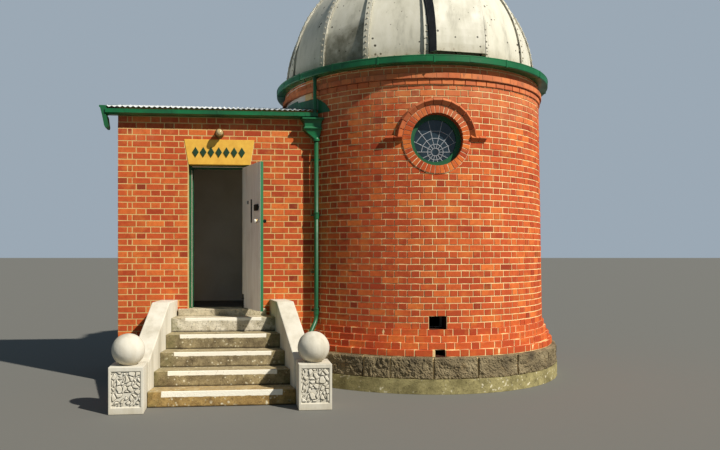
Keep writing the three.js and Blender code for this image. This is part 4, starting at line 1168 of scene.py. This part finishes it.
# %% Porch base stones
BASE_WALLS = (
    ((-3.26, FRONT, 0), (1, 0, 0), 0.610, 1), ((-0.885, FRONT, 0), (1, 0, 0), 0.22, 1),
    ((-3.26, 0.96, 0), (0, -1, 0), 1.755, 3), ((-0.95, 0.96, 0), (-1, 0, 0), 2.310, 4),
)
BASE_COURSES = ((0.006, 0.232), (0.242, 0.464))
BASE_GAP = 0.005
porch_stones = bmesh.new()
seed = 40
for corner, along, length, count in BASE_WALLS:
    corner, along = Vector(corner), Vector(along)
    outward = along.cross(UP)
    for course, (low, high) in enumerate(BASE_COURSES):
        ends = [i * length / count for i in range(count + 1)]
        if course and count > 1:
            ends = [0] + [(i + 0.5) * length / count for i in range(count)] + [length]
        for left, right in zip(ends, ends[1:]):
            seed += 1

            def flat_place(u, v, out):
                reach = left + BASE_GAP + u * (right - left - 2 * BASE_GAP)
                return corner + along * reach + outward * out + UP * (low + v * (high - low))
            rock_face(porch_stones, flat_place, max(4, round((right - left) * 26)), 7, 0.012, seed)
piece("porch_base_stones", porch_stones, "building", bluestone)

# %% [markdown]
# ## Pedestals and balls
# The panel on each pedestal is vermiculated: smooth raised patches with narrow winding channels
# between them, an old ornament in render. A fine grid takes them from a cell pattern, whose second
# distance is hardly longer than its first where two cells meet. A plain margin is left round it.
# The balls are spheres with a slight unevenness.

# %% Vermiculated panels and balls
PEDESTAL_ASIDE = 1.080
PANEL_LEFT, PANEL_FOOT, PANEL_WIDE, PANEL_HIGH = -0.168, 0.092, 0.336, 0.395
CHANNEL_DEEP, CHANNEL_HALF = 0.015, 0.10
BALL_PLACE, BALL_RADIUS = (-2.410, 0.705), 0.190
for side, name in ((-1, "left"), (1, "right")):
    middle = STEPS_X + side * PEDESTAL_ASIDE
    panel = bmesh.new()
    columns, rows = 80, 100
    grid = []
    for i in range(columns + 1):
        line = []
        for j in range(rows + 1):
            x = middle + PANEL_LEFT + PANEL_WIDE * i / columns
            z = PANEL_FOOT + PANEL_HIGH * j / rows
            bend = noise.noise(Vector((x * 14, side, z * 14))) * 0.5
            near, second = noise.voronoi(Vector((x * 18 + bend, side * 4, z * 16 - bend)))[0][:2]
            ridge = min(1.0, max(0.0, (second - near - CHANNEL_HALF) / CHANNEL_HALF))
            if min(i, columns - i, j, rows - j) < 3:
                ridge = 0
            depth = CHANNEL_DEEP * (1 - ridge)
            line.append(panel.verts.new((x, PEDESTAL_FRONT + 0.0005 + depth, z)))
        grid.append(line)
    add_net(panel, grid)
    piece(f"vermiculated_panel_{name}", panel, "building", panel_render, smooth=True)

    ball = bmesh.new()
    centre = Vector((middle, *BALL_PLACE))
    bmesh.ops.create_uvsphere(ball, u_segments=56, v_segments=32, radius=BALL_RADIUS,
                              matrix=Matrix.Translation(centre))
    for vert in ball.verts:
        vert.co += (centre - vert.co).normalized() * 0.003 * abs(noise.noise(vert.co * 9))
    made = piece(f"ball_{name}_round", ball, "building", ball_render, smooth=True)
    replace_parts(made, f"ball_{name}")

# %% [markdown]
# ## The dome's skin and ribs
# The dome is fifteen flat gores bent upwards only, with a rib over every seam. The solids give it
# twelve facets from foot to crown. A finer skin over them, with forty, takes the facets out of the
# light. A gore's points lie on the straight line between two seams at each height. The skin is then
# cut along the slit and its inside removed, so the slit is open when the shutter goes back.

# %% Skin of the dome
DOME_Z = 4.500
SEAM_RADIUS = 1.935
DOME_RISE = 1.905
RIBS = (-31.1, -6.7, 19.0, 43.0, 67.1, 91.1, 115.2, 139.2, 163.2, 187.3, 211.3, 235.4, 259.4,
        283.5, 307.5, 328.9)
SHUTTER_AZIMUTH = 6.15
SLIT_SIDE = 0.345
SLIT_END = 98.5
slit_out = out_of_tower(SHUTTER_AZIMUTH)
slit_right = out_of_tower(SHUTTER_AZIMUTH + 90)
CROWN = DOME_AXIS + UP * DOME_Z


def on_seam(azimuth, angle, proud=0.0):
    """A point of a seam at an angle above the springing, or outside it."""
    reach = (SEAM_RADIUS + proud) * math.cos(angle)
    return CROWN + out_of_tower(azimuth) * reach + UP * (DOME_RISE + proud) * math.sin(angle)


def open_slit(shape):
    """Cuts a shape along both sides of the slit and takes out what lies in the slit."""
    for side in (-1, 1):
        cut(shape, CROWN + slit_right * side * SLIT_SIDE, slit_right)
    end = math.radians(SLIT_END)
    cut(shape, CROWN, -slit_out * math.sin(end) + UP * math.cos(end))
    inside = []
    for face in shape.faces:
        away = face.calc_center_median() - CROWN
        ahead = math.atan2(away.z, away.dot(slit_out))
        if abs(away.dot(slit_right)) < SLIT_SIDE and ahead < end:
            inside.append(face)
    bmesh.ops.delete(shape, geom=inside, context="FACES")


skin = bmesh.new()
ACROSS, UPWARDS = 3, 40
for left, right in zip(RIBS, RIBS[1:]):
    grid = []
    for i in range(ACROSS + 1):
        line = []
        for j in range(UPWARDS + 1):
            angle = math.radians(89.6) * j / UPWARDS
            place = on_seam(left, angle, 0.001).lerp(on_seam(right, angle, 0.001), i / ACROSS)
            line.append(skin.verts.new(place))
        grid.append(line)
    add_net(skin, grid)
bmesh.ops.remove_doubles(skin, verts=skin.verts, dist=0.0002)
open_slit(skin)
for edge in skin.edges:
    edge.smooth = edge.calc_face_angle(0) < 0.2 if len(edge.link_faces) == 2 else True
piece("dome_skin", skin, "dome", dome_paint, smooth=True)

# %% Ribs with their bolts
RIB_HALF, RIB_PROUD, RIB_SUNK, RIB_ARRIS = 0.040, 0.022, 0.014, 0.003
RIB_SECTION = ((-RIB_HALF, -RIB_SUNK), (-RIB_HALF, RIB_PROUD - RIB_ARRIS),
               (-RIB_HALF + RIB_ARRIS, RIB_PROUD + 0.001),
               (RIB_HALF - RIB_ARRIS, RIB_PROUD + 0.001),
               (RIB_HALF, RIB_PROUD - RIB_ARRIS), (RIB_HALF, -RIB_SUNK))
RIB_STOPS = 0.416
BOLT_PITCH, BOLTS_STOP = 0.088, 0.425


def add_bolt(shape, place, outward, radius=0.014, high=0.011):
    """A low round bolt head standing on a surface."""
    turn = UP.rotation_difference(outward).to_matrix().to_4x4()
    profile = [(radius, -0.002), (radius, high * 0.45), (radius * 0.55, high), (0, high)]
    add_turned(shape, profile, Matrix.Translation(place) @ turn, 7)


ribs = bmesh.new()
bolts = bmesh.new()
for azimuth in RIBS[1:]:
    sideways = out_of_tower(azimuth + 90)
    rings = []
    for j in range(41):
        angle = math.radians(88.8) * j / 40
        rings.append([ribs.verts.new(on_seam(azimuth, angle, proud) + sideways * side)
                      for side, proud in RIB_SECTION])
    add_net(ribs, list(zip(*rings)))
    ribs.faces.new(rings[0][::-1])
    for number in range(33):
        angle = (0.03 + number * BOLT_PITCH) / 1.92
        place = on_seam(azimuth, angle, RIB_PROUD)
        outward = (on_seam(azimuth, angle, 0.1) - on_seam(azimuth, angle)).normalized()
        away = place - CROWN
        if angle < 1.45 and (away.dot(slit_out) < 0 or abs(away.dot(slit_right)) > BOLTS_STOP):
            add_bolt(bolts, place, outward)
bmesh.ops.recalc_face_normals(ribs, faces=ribs.faces)
for side in (-1, 1):
    cut(ribs, CROWN + slit_right * side * RIB_STOPS, slit_right)
gone = [f for f in ribs.faces
        if abs((f.calc_center_median() - CROWN).dot(slit_right)) < RIB_STOPS]
bmesh.ops.delete(ribs, geom=gone, context="FACES")
piece("dome_ribs", ribs, "dome", dome_paint)
close_up(bolts)
piece("rib_bolts", bolts, "dome", bolt_paint, smooth=True)

# %% [markdown]
# ## The shutter
# The shutter is a channel over the slit that slides back over the crown. Its sides carry a dark
# grey sheet that paints the shade they stand in, and its face carries a cover strip along both
# edges and a row of bolts beside each. All of it rides on the shutter's own body, so it goes with
# it when it opens.

# %% Sides, cover strips and bolts of the shutter
SWEEP_STEPS = 66


def over_the_top(angle):
    """The direction out of the shutter at an angle up and over the dome."""
    return slit_out * math.cos(angle) + UP * math.sin(angle)


def on_shutter(side, radius, angle):
    """A place on the shutter by its side offset, its radius and its angle over the top."""
    return CROWN + slit_right * side + over_the_top(angle) * radius


def sweep(shape, outline, start, end):
    """Sweeps an open outline of (side, radius) over the dome between two angles."""
    rings = []
    for i in range(SWEEP_STEPS + 1):
        angle = math.radians(start + (end - start) * i / SWEEP_STEPS)
        rings.append([shape.verts.new(on_shutter(side, radius, angle)) for side, radius in outline])
    add_net(shape, list(zip(*rings)))


# Dark sheets over both sides of the shutter, painted as shade.
sides = bmesh.new()
for mirror in (-1, 1):
    outline = [(mirror * 0.4056, 1.926), (mirror * 0.4056, 1.9385), (mirror * 0.3492, 2.0290)]
    sweep(sides, outline[::-mirror], 0.05, 98.95)
bmesh.ops.recalc_face_normals(sides, faces=sides.faces)
piece("shutter_sides", sides, "shutter", shutter_shade_grey)

laps = bmesh.new()
for edges in ((-0.349, -0.318), (0.318, 0.349)):
    sweep(laps, [(side, radius) for side in edges for radius in (2.0285, 2.0296)], 0.0, 99)
bmesh.ops.recalc_face_normals(laps, faces=laps.faces)
piece("shutter_cover_strips", laps, "shutter", dome_paint)

shutter_bolts = bmesh.new()
for number in range(34):
    angle = math.radians(2.5 + number * 2.85)
    for side in (-0.300, 0.300):
        add_bolt(shutter_bolts, on_shutter(side, 2.0235, angle), over_the_top(angle), 0.008, 0.006)
close_up(shutter_bolts)
piece("shutter_bolts", shutter_bolts, "shutter", bolt_paint, smooth=True)

# %% [markdown]
# ## Foot of the dome
# A skirt strip runs round the foot and hides the gap above the gutter, with bolts between the ribs.

# %% Skirt
skirt = bmesh.new()
for left, right in zip(RIBS, RIBS[1:]):
    start, end = on_seam(left, 0, 0.006), on_seam(right, 0, 0.006)
    corners = [start - UP * 0.026, end - UP * 0.026, end + UP * 0.012, start + UP * 0.012]
    skirt.faces.new([skirt.verts.new(corner) for corner in corners])
bmesh.ops.remove_doubles(skirt, verts=skirt.verts, dist=0.0002)
bmesh.ops.solidify(skirt, geom=skirt.faces[:], thickness=0.008)
bmesh.ops.recalc_face_normals(skirt, faces=skirt.faces)
piece("dome_skirt", skirt, "dome", dome_paint)

# %% [markdown]
# ## Gutters
# The ring gutter on its corbel is turned again with a smooth section, a rolled top edge and a flat
# bottom, and bracket straps hold it. The straps' places at the front come from the photo; the rest
# are spaced the same. The porch's gutter gets a rolled edge, joint sleeves and straps.

# %% Ring gutter
ring_section = [
    (2.0026, 4.425), (2.0026, 4.328), (2.118, 4.328), (2.128, 4.332), (2.134, 4.340),
    (2.1345, 4.408), (2.137, 4.412), (2.137, 4.421), (2.133, 4.425), (2.126, 4.424),
    (2.123, 4.418), (2.128, 4.410), (2.128, 4.346), (2.120, 4.336), (2.010, 4.336), (2.010, 4.425),
    (2.0026, 4.425)]
gutter = bmesh.new()
add_turned(gutter, ring_section, AT_AXIS, FULL_TURN)
close_up(gutter)
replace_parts(piece("ring_gutter_rolled", gutter, "building", green_enamel),
            "ring_gutter")

STRAPS = (-25.7, -5.7, 23.1, 46, 74, 102, 130, 158, 186, 214, 242, 270, 298, 316)
STRAP_BARS = (((0.026, 0.004, 0.085), 2.1375, 4.368), ((0.026, 0.122, 0.004), 2.075, 4.326),
              ((0.026, 0.130, 0.003), 2.073, 4.4275))
SLEEVES = (-41, 8, 60, 120, 180, 240, 284)
straps = bmesh.new()
for azimuth in STRAPS:
    for size, radius, z in STRAP_BARS:
        add_bar(straps, size, against_tower(azimuth, radius, z), 0.001)
for azimuth in SLEEVES:
    add_bar(straps, (0.060, 0.003, 0.066), against_tower(azimuth, 2.1355, 4.374), 0.0008)
close_up(straps)
piece("ring_gutter_straps", straps, "building", green_enamel)

# %% Porch gutter edge, sleeves and straps
GUTTER_FACE = -0.935
ALONG_X = Matrix.Rotation(math.radians(90), 4, "Y")
EDGE_LENGTH = 2.934
edge_roll = bmesh.new()
place = at(-3.384, GUTTER_FACE + 0.006, 3.806) @ ALONG_X
add_turned(edge_roll, [(0, 0), (0.0075, 0), (0.0075, EDGE_LENGTH), (0, EDGE_LENGTH)], place, 10)
for x in (-3.375, -3.09, -2.47, -1.85, -1.23, -0.61):
    add_bar(edge_roll, (0.025, 0.004, 0.056), at(x, GUTTER_FACE - 0.001, 3.786), 0.001)
    add_bar(edge_roll, (0.025, 0.120, 0.003), at(x, -0.868, 3.8105), 0.001)
for x in (-3.09, -0.753):
    add_bar(edge_roll, (0.070, 0.0035, 0.050), at(x, GUTTER_FACE - 0.0005, 3.784), 0.001)
    add_bar(edge_roll, (0.070, 0.096, 0.004), at(x, -0.846, 3.739), 0.001)
close_up(edge_roll)
piece("porch_gutter_fittings", edge_roll, "building", green_enamel)

# %% [markdown]
# ## Corrugated porch roof
# The roof is one skin of corrugated sheet that falls to the front. The waves have a pitch of 73 mm
# and run with the fall. Each row of points stops where it meets the round tower, and a solidify
# step gives the sheet its thickness, so its front edge shows the wave. Screws sit on every third
# crest.

# %% Roof sheet
def wall_x(y, radius):
    """Where a radius of the tower stands at a depth, on the porch's side."""
    return AXIS.x - math.sqrt(radius ** 2 - (y - AXIS.y) ** 2)


WAVE = 0.073
WAVE_HALF, SHEET = 0.009, 0.003
ROOF_FROM, ROOF_TO, ROOF_DEEP = -3.385, 1.0, 1.850
sheet = bmesh.new()
rows = [EAVES_Y + ROOF_DEEP * j / 37 for j in range(38)]
columns = int((ROOF_TO - ROOF_FROM) / (WAVE / 8))
grid = []
for i in range(columns + 1):
    x = ROOF_FROM + i * WAVE / 8
    line = []
    for y in rows:
        z = roof_top(y) - 0.0095 + WAVE_HALF * math.cos(math.tau * (x - ROOF_FROM) / WAVE)
        line.append(sheet.verts.new((x, y, z)) if x < wall_x(y, 2.010) + 0.006 else None)
    grid.append(line)
add_net(sheet, grid)
bmesh.ops.delete(sheet, geom=[v for v in sheet.verts if not v.link_faces], context="VERTS")
bmesh.ops.recalc_face_normals(sheet, faces=sheet.faces)
if sheet.faces[0].normal.z < 0:
    bmesh.ops.reverse_faces(sheet, faces=sheet.faces)
bmesh.ops.solidify(sheet, geom=sheet.faces[:], thickness=SHEET)
made = piece("corrugated_roof", sheet, "building", roof_sheet, smooth=True)
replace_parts(made, "porch_roof")

SCREW_ROWS = (-0.78, -0.25, 0.28, 0.85)
screws = bmesh.new()
for j, y in enumerate(SCREW_ROWS):
    for i in range(0, 58, 3):
        x = ROOF_FROM + WAVE * (i + j % 2)
        if x < wall_x(y, 2.07):
            add_bolt(screws, Vector((x, y, roof_top(y) - 0.0015)), UP, 0.009, 0.005)
close_up(screws)
piece("roof_screws", screws, "building", roof_sheet, smooth=True)

# %% [markdown]
# ## Rainwater head and pipes
# The head has a roll at its rim, a cove below it, a bead, and then a taper to the pipe's socket. It
# is made of level outlines joined one to the next, with a well in its top. The downpipe is round
# cast iron in three lengths: each joint has a socket with a bead at its mouth, and pairs of ears
# hold it to the wall. Its path is the same as the solid's, with rounder bends.

# %% Rainwater head
PIPE = Vector((-0.463, -0.918, 0))
HEAD_SECTIONS = (
    (-0.670, -0.360, -0.980, 3.735), (-0.670, -0.360, -0.980, 3.713),
    (-0.664, -0.366, -0.974, 3.707), (-0.650, -0.378, -0.958, 3.700),
    (-0.640, -0.386, -0.946, 3.682), (-0.634, -0.391, -0.939, 3.655),
    (-0.632, -0.392, -0.937, 3.615), (-0.634, -0.391, -0.941, 3.602),
    (-0.644, -0.384, -0.957, 3.597), (-0.648, -0.381, -0.962, 3.587),
    (-0.644, -0.384, -0.957, 3.577), (-0.634, -0.391, -0.944, 3.571),
    (-0.598, -0.400, -0.930, 3.530), (-0.548, -0.410, -0.926, 3.490),
    (-0.505, -0.421, -0.926, 3.455), (-0.500, -0.426, -0.926, 3.430),
)
HEAD_WELL = ((-0.658, -0.372, -0.968, 3.735), (-0.622, -0.404, -0.930, 3.640))


def head_ring(shape, section, corner=0.006):
    """One level outline of the head: two points on the wall and two softened front corners."""
    left, right, front, z = section
    wall_y = FRONT - 0.0005
    points = [(left, wall_y), (left, front + corner), (left + corner, front),
              (right - corner, front), (right, front + corner), (right, wall_y)]
    ring = [shape.verts.new((x, y, z)) for x, y in points]
    return ring + ring[:1]


head = bmesh.new()
rings = [head_ring(head, section) for section in (*reversed(HEAD_SECTIONS), *HEAD_WELL)]
add_net(head, list(zip(*rings)))
for ring in (rings[0], rings[-1]):
    head.faces.new(ring[:-1])
add_turned(head, [(0.037, 0.0), (0.047, 0.006), (0.047, 0.030), (0.040, 0.040), (0.037, 0.05)],
           at(PIPE.x, PIPE.y, 3.402), 24)
close_up(head)
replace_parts(piece("rainwater_head_cast", head, "building", green_enamel),
            "rainwater_head")

# %% Downpipe with sockets and ears
PIPE_FOOT = Vector((-0.620, -1.125, 0))
PIPE_RADIUS, PIPE_SIDES, PIPE_BEND = 0.031, 24, 0.075
corners = [PIPE + UP * 3.4297, PIPE + UP * 0.88, PIPE_FOOT + UP * 0.60, PIPE_FOOT + UP * 0.07]
path = [corners[0]]
for before, corner, after in zip(corners, corners[1:], corners[2:]):
    start = corner + (before - corner).normalized() * PIPE_BEND
    end = corner + (after - corner).normalized() * PIPE_BEND
    path += [start.lerp(corner, t).lerp(corner.lerp(end, t), t) for t in (k / 8 for k in range(9))]
path.append(corners[-1])
pipe = bmesh.new()
rings = []
side = Vector((1, 0, 0))
for i, place in enumerate(path):
    ahead = (path[min(i + 1, len(path) - 1)] - path[max(i - 1, 0)]).normalized()
    side = (side - ahead * side.dot(ahead)).normalized()
    other = ahead.cross(side)
    ring = [pipe.verts.new(place + (side * math.cos(a) + other * math.sin(a)) * PIPE_RADIUS)
            for a in (math.tau * k / PIPE_SIDES for k in range(PIPE_SIDES))]
    rings.append(ring + ring[:1])
add_net(pipe, list(zip(*rings)))
for ring in (rings[0], rings[-1]):
    pipe.faces.new(ring[:-1])
bmesh.ops.recalc_face_normals(pipe, faces=pipe.faces)
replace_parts(piece("downpipe_round", pipe, "building", pipe_enamel, smooth=True),
            "downpipe")

SOCKETS = ((PIPE, 2.300), (PIPE, 0.945), (PIPE_FOOT, 0.420))
EARS_Z = (3.15, 2.362, 1.55, 1.005)
COLLARS = ((0.031, 0.045, 4.272), (0.030, 0.028, 3.84))
sockets = bmesh.new()
SOCKET = [(0.0312, 0.0), (0.036, 0.003), (0.0375, 0.010), (0.0375, 0.078), (0.042, 0.083),
          (0.042, 0.095), (0.037, 0.100), (0.0312, 0.100)]
for foot, z in SOCKETS:
    add_turned(sockets, SOCKET, at(foot.x, foot.y, z), 24)
for z in EARS_Z:
    for sign in (-1, 1):
        add_bar(sockets, (0.036, 0.100, 0.016), at(PIPE.x + sign * 0.046, -0.848, z), 0.003)
for radius, high, z in COLLARS:
    add_turned(sockets, [(0.0252, 0), (radius, 0.003), (radius, high), (0.0252, high + 0.003)],
               at(-0.477, -0.875, z), 18)
close_up(sockets)
piece("pipe_sockets_and_ears", sockets, "building", pipe_enamel)

# %% [markdown]
# ## Verge board
# The board on the roof's left edge shows a bead along its head and one along its foot. Each is a
# thin rod laid from end to end with the roof's fall.

# %% Verge board bead
VERGE_X, VERGE_ENDS, BEAD_DROPS = -3.4165, (-0.90, 0.98), (0.018, 0.108)
verge = bmesh.new()
for drop in BEAD_DROPS:
    start, end = (Vector((VERGE_X, y, roof_top(y) - drop)) for y in VERGE_ENDS)
    length = (end - start).length
    turn = UP.rotation_difference(end - start).to_matrix().to_4x4()
    add_turned(verge, [(0, 0), (0.006, 0), (0.006, length), (0, length)],
               Matrix.Translation(start) @ turn, 8)
close_up(verge)
piece("verge_board_beads", verge, "building", green_timber)

# %% [markdown]
# ## The leaded window
# The glass is cut into a fan: rays from a hub below the middle, crossed by rings of straight leads
# as far as they fit in the opening. It is a plain geometric pattern in the manner of the real
# window. Leads are flat bars that stand a little proud of the glass, and the frame gets a rolled
# inner bead and a rim.

# %% Window leads and frame bead
GLASS_RADIUS, GLASS_PLANE = 0.286, 1.8755
HUB = Vector((0.006, -0.150))
leads = bmesh.new()


def to_rim(direction):
    """Distance from the hub to the rim of the glass in a direction."""
    along = HUB.dot(direction)
    return -along + math.sqrt(along * along - HUB.length_squared + GLASS_RADIUS ** 2)


def add_lead(start, end, width=0.009):
    """A flat lead between two places of the window's drawing."""
    middle, run = (start + end) / 2, end - start
    turn = Matrix.Rotation(-math.atan2(run.y, run.x), 4, "Y")
    place = against_tower(WINDOW_AZIMUTH, GLASS_PLANE, WINDOW_Z) @ at(middle.x, 0, middle.y)
    add_bar(leads, (run.length + width * 0.6, 0.006, width), place @ turn, 0.0015)


RAYS, REACHES = 14, (0.052, 0.108, 0.190, 0.290)
spokes = [Vector((math.cos(a), math.sin(a))) for a in (math.tau * k / RAYS for k in range(RAYS))]
for spoke in spokes:
    add_lead(HUB + spoke * REACHES[0], HUB + spoke * (to_rim(spoke) + 0.002))
for reach in REACHES:
    for one, two in zip(spokes, spokes[1:] + spokes[:1]):
        start, end = HUB + one * reach, HUB + two * reach
        if max(start.length, end.length) < GLASS_RADIUS - 0.004:
            add_lead(start, end)
close_up(leads)
piece("window_leads", leads, "building", lead)

bead = bmesh.new()
frame_place = against_tower(WINDOW_AZIMUTH, 1.870, WINDOW_Z) @ FACING
add_turned(bead, [(0.286, 0.0), (0.286, 0.026), (0.292, 0.0315), (0.300, 0.0325), (0.303, 0.029),
                  (0.335, 0.030), (0.340, 0.036), (0.3465, 0.038), (0.3485, 0.034), (0.3485, 0.0)],
           frame_place, 72)
close_up(bead)
piece("window_frame_bead", bead, "building", green_timber, smooth=True)

# %% [markdown]
# ## The painted lintel
# The flared lintel carries a row of raised dark green shapes: seven equal lozenges, evenly spaced.

# %% Ornaments on the lintel
FIRST_LOZENGE, LOZENGES, LOZENGE_PITCH = -2.164, 7, 0.1085
LOZENGE_Z, HALF_WIDE, HALF_HIGH = 3.247, 0.046, 0.074
LOZENGE_PROUD, LOZENGE_ARRIS = 0.012, 0.004
ornaments = bmesh.new()
for number in range(LOZENGES):
    x = FIRST_LOZENGE + LOZENGE_PITCH * number
    outline = ((0, -HALF_HIGH), (HALF_WIDE, 0), (0, HALF_HIGH), (-HALF_WIDE, 0))
    face = ornaments.faces.new([ornaments.verts.new((x + u, FRONT - 0.0005, LOZENGE_Z + v))
                                for u, v in outline])
    front = bmesh.ops.extrude_discrete_faces(ornaments, faces=[face])["faces"]
    bmesh.ops.translate(ornaments, vec=(0, -LOZENGE_PROUD, 0), verts=list(front[0].verts))
    bmesh.ops.inset_individual(ornaments, faces=front, thickness=LOZENGE_ARRIS,
                               depth=LOZENGE_ARRIS, use_even_offset=True)
close_up(ornaments)
piece("lintel_ornaments", ornaments, "building", ornament_green)

# %% [markdown]
# ## The lamp
# A bulkhead lamp stands out over the lintel: a backplate, a body with two rolls and a clear dome.

# %% Lamp
lamp = bmesh.new()
lamp_place = at(-1.8295, FRONT, 3.508) @ FACING
add_turned(lamp, [(0, 0), (0.066, 0), (0.066, 0.010), (0.058, 0.014), (0.054, 0.018),
                  (0.054, 0.050), (0.057, 0.054), (0.057, 0.062), (0.054, 0.066), (0.053, 0.092),
                  (0.058, 0.096), (0.058, 0.106), (0.051, 0.110), (0.050, 0.114)], lamp_place, 36)
close_up(lamp)
piece("lamp_body", lamp, "building", lamp_metal, smooth=True)
lens = bmesh.new()
add_turned(lens, [(0.0505, 0.110), (0.050, 0.118), (0.046, 0.130), (0.037, 0.142), (0.024, 0.150),
                  (0.010, 0.1535), (0, 0.154)], lamp_place, 36)
close_up(lens)
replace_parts(piece("lamp_lens", lens, "building", lamp_glass, smooth=True),
            "wall_lamp")

# %% [markdown]
# ## Door furniture
# The leaf stands open and shows its inner side. The furniture is drawn on the closed leaf, where
# measures are easy, and the same matrix that opened the leaf opens it: a lock case with its latch,
# an upright plate and a small one, a bolt with two keepers at the foot near the hinges, three
# hinge plates, and a round rose behind each knob. The leaf itself is flush. Beads and a strike
# plate stay on the frame, as the building's pieces.

# %% Lock, bolt, hinges and plates on the leaf
KNOB_X, KNOB_Z = -2.142, 2.250
HINGES_Z = (1.345, 2.065, 2.785)
FURNITURE = (
    (-2.142, -2.022, 2.392, 2.476, 0.026, 0.003), (-2.166, -2.142, 2.415, 2.450, 0.014, 0.002),
    (-1.872, -1.846, 2.240, 2.560, 0.012, 0.003), (-1.722, -1.700, 2.505, 2.550, 0.010, 0.002),
    (-1.505, -1.487, 1.020, 1.240, 0.016, 0.004), (-1.519, -1.473, 1.060, 1.076, 0.020, 0.003),
    (-1.519, -1.473, 1.170, 1.186, 0.020, 0.003),
)


def on_door(shape, left, right, low, high, deep, arris):
    """A plate on the leaf's inner side, given on the closed leaf."""
    middle = at((left + right) / 2, LEAF_INSIDE + deep / 2 - 0.0005, (low + high) / 2)
    add_bar(shape, (right - left, deep + 0.001, high - low), on_leaf @ middle, arris)


furniture = bmesh.new()
for row in FURNITURE:
    on_door(furniture, *row)
close_up(furniture)
piece("lock_and_bolt", furniture, "door", black_iron)

hinges = bmesh.new()
for z in HINGES_Z:
    on_door(hinges, -1.507, -1.465, z - 0.045, z + 0.045, 0.0025, 0.0008)
close_up(hinges)
piece("hinge_plates", hinges, "door", leaf_paint)

plates = bmesh.new()
for y, sign in ((LEAF_INSIDE + 0.030, -1), (LEAF_INSIDE - 0.044, 1)):
    rose = on_leaf @ at(KNOB_X, y, KNOB_Z) @ Matrix.Rotation(math.radians(90 * sign), 4, "X")
    add_turned(plates, [(0, 0), (0.030, 0), (0.030, 0.004), (0.022, 0.008), (0.012, 0.010),
                        (0.010, 0.013)], rose, 24)
close_up(plates)
piece("door_plates", plates, "door", brass)

# %% Rebate beads and strike plate of the door frame
beads = bmesh.new()
add_bar(beads, (0.766, 0.005, 0.011), at(-1.8345, -0.697, 3.0515), 0.001)
add_bar(beads, (0.006, 0.005, 1.95), at(-2.2205, -0.697, 2.030), 0.001)
piece("rebate_beads", beads, "building", leaf_white)
strike = bmesh.new()
add_bar(strike, (0.0024, 0.030, 0.090), at(-2.2160, -0.672, 2.36), 0.0004)
piece("strike_plate", strike, "building", black_iron)
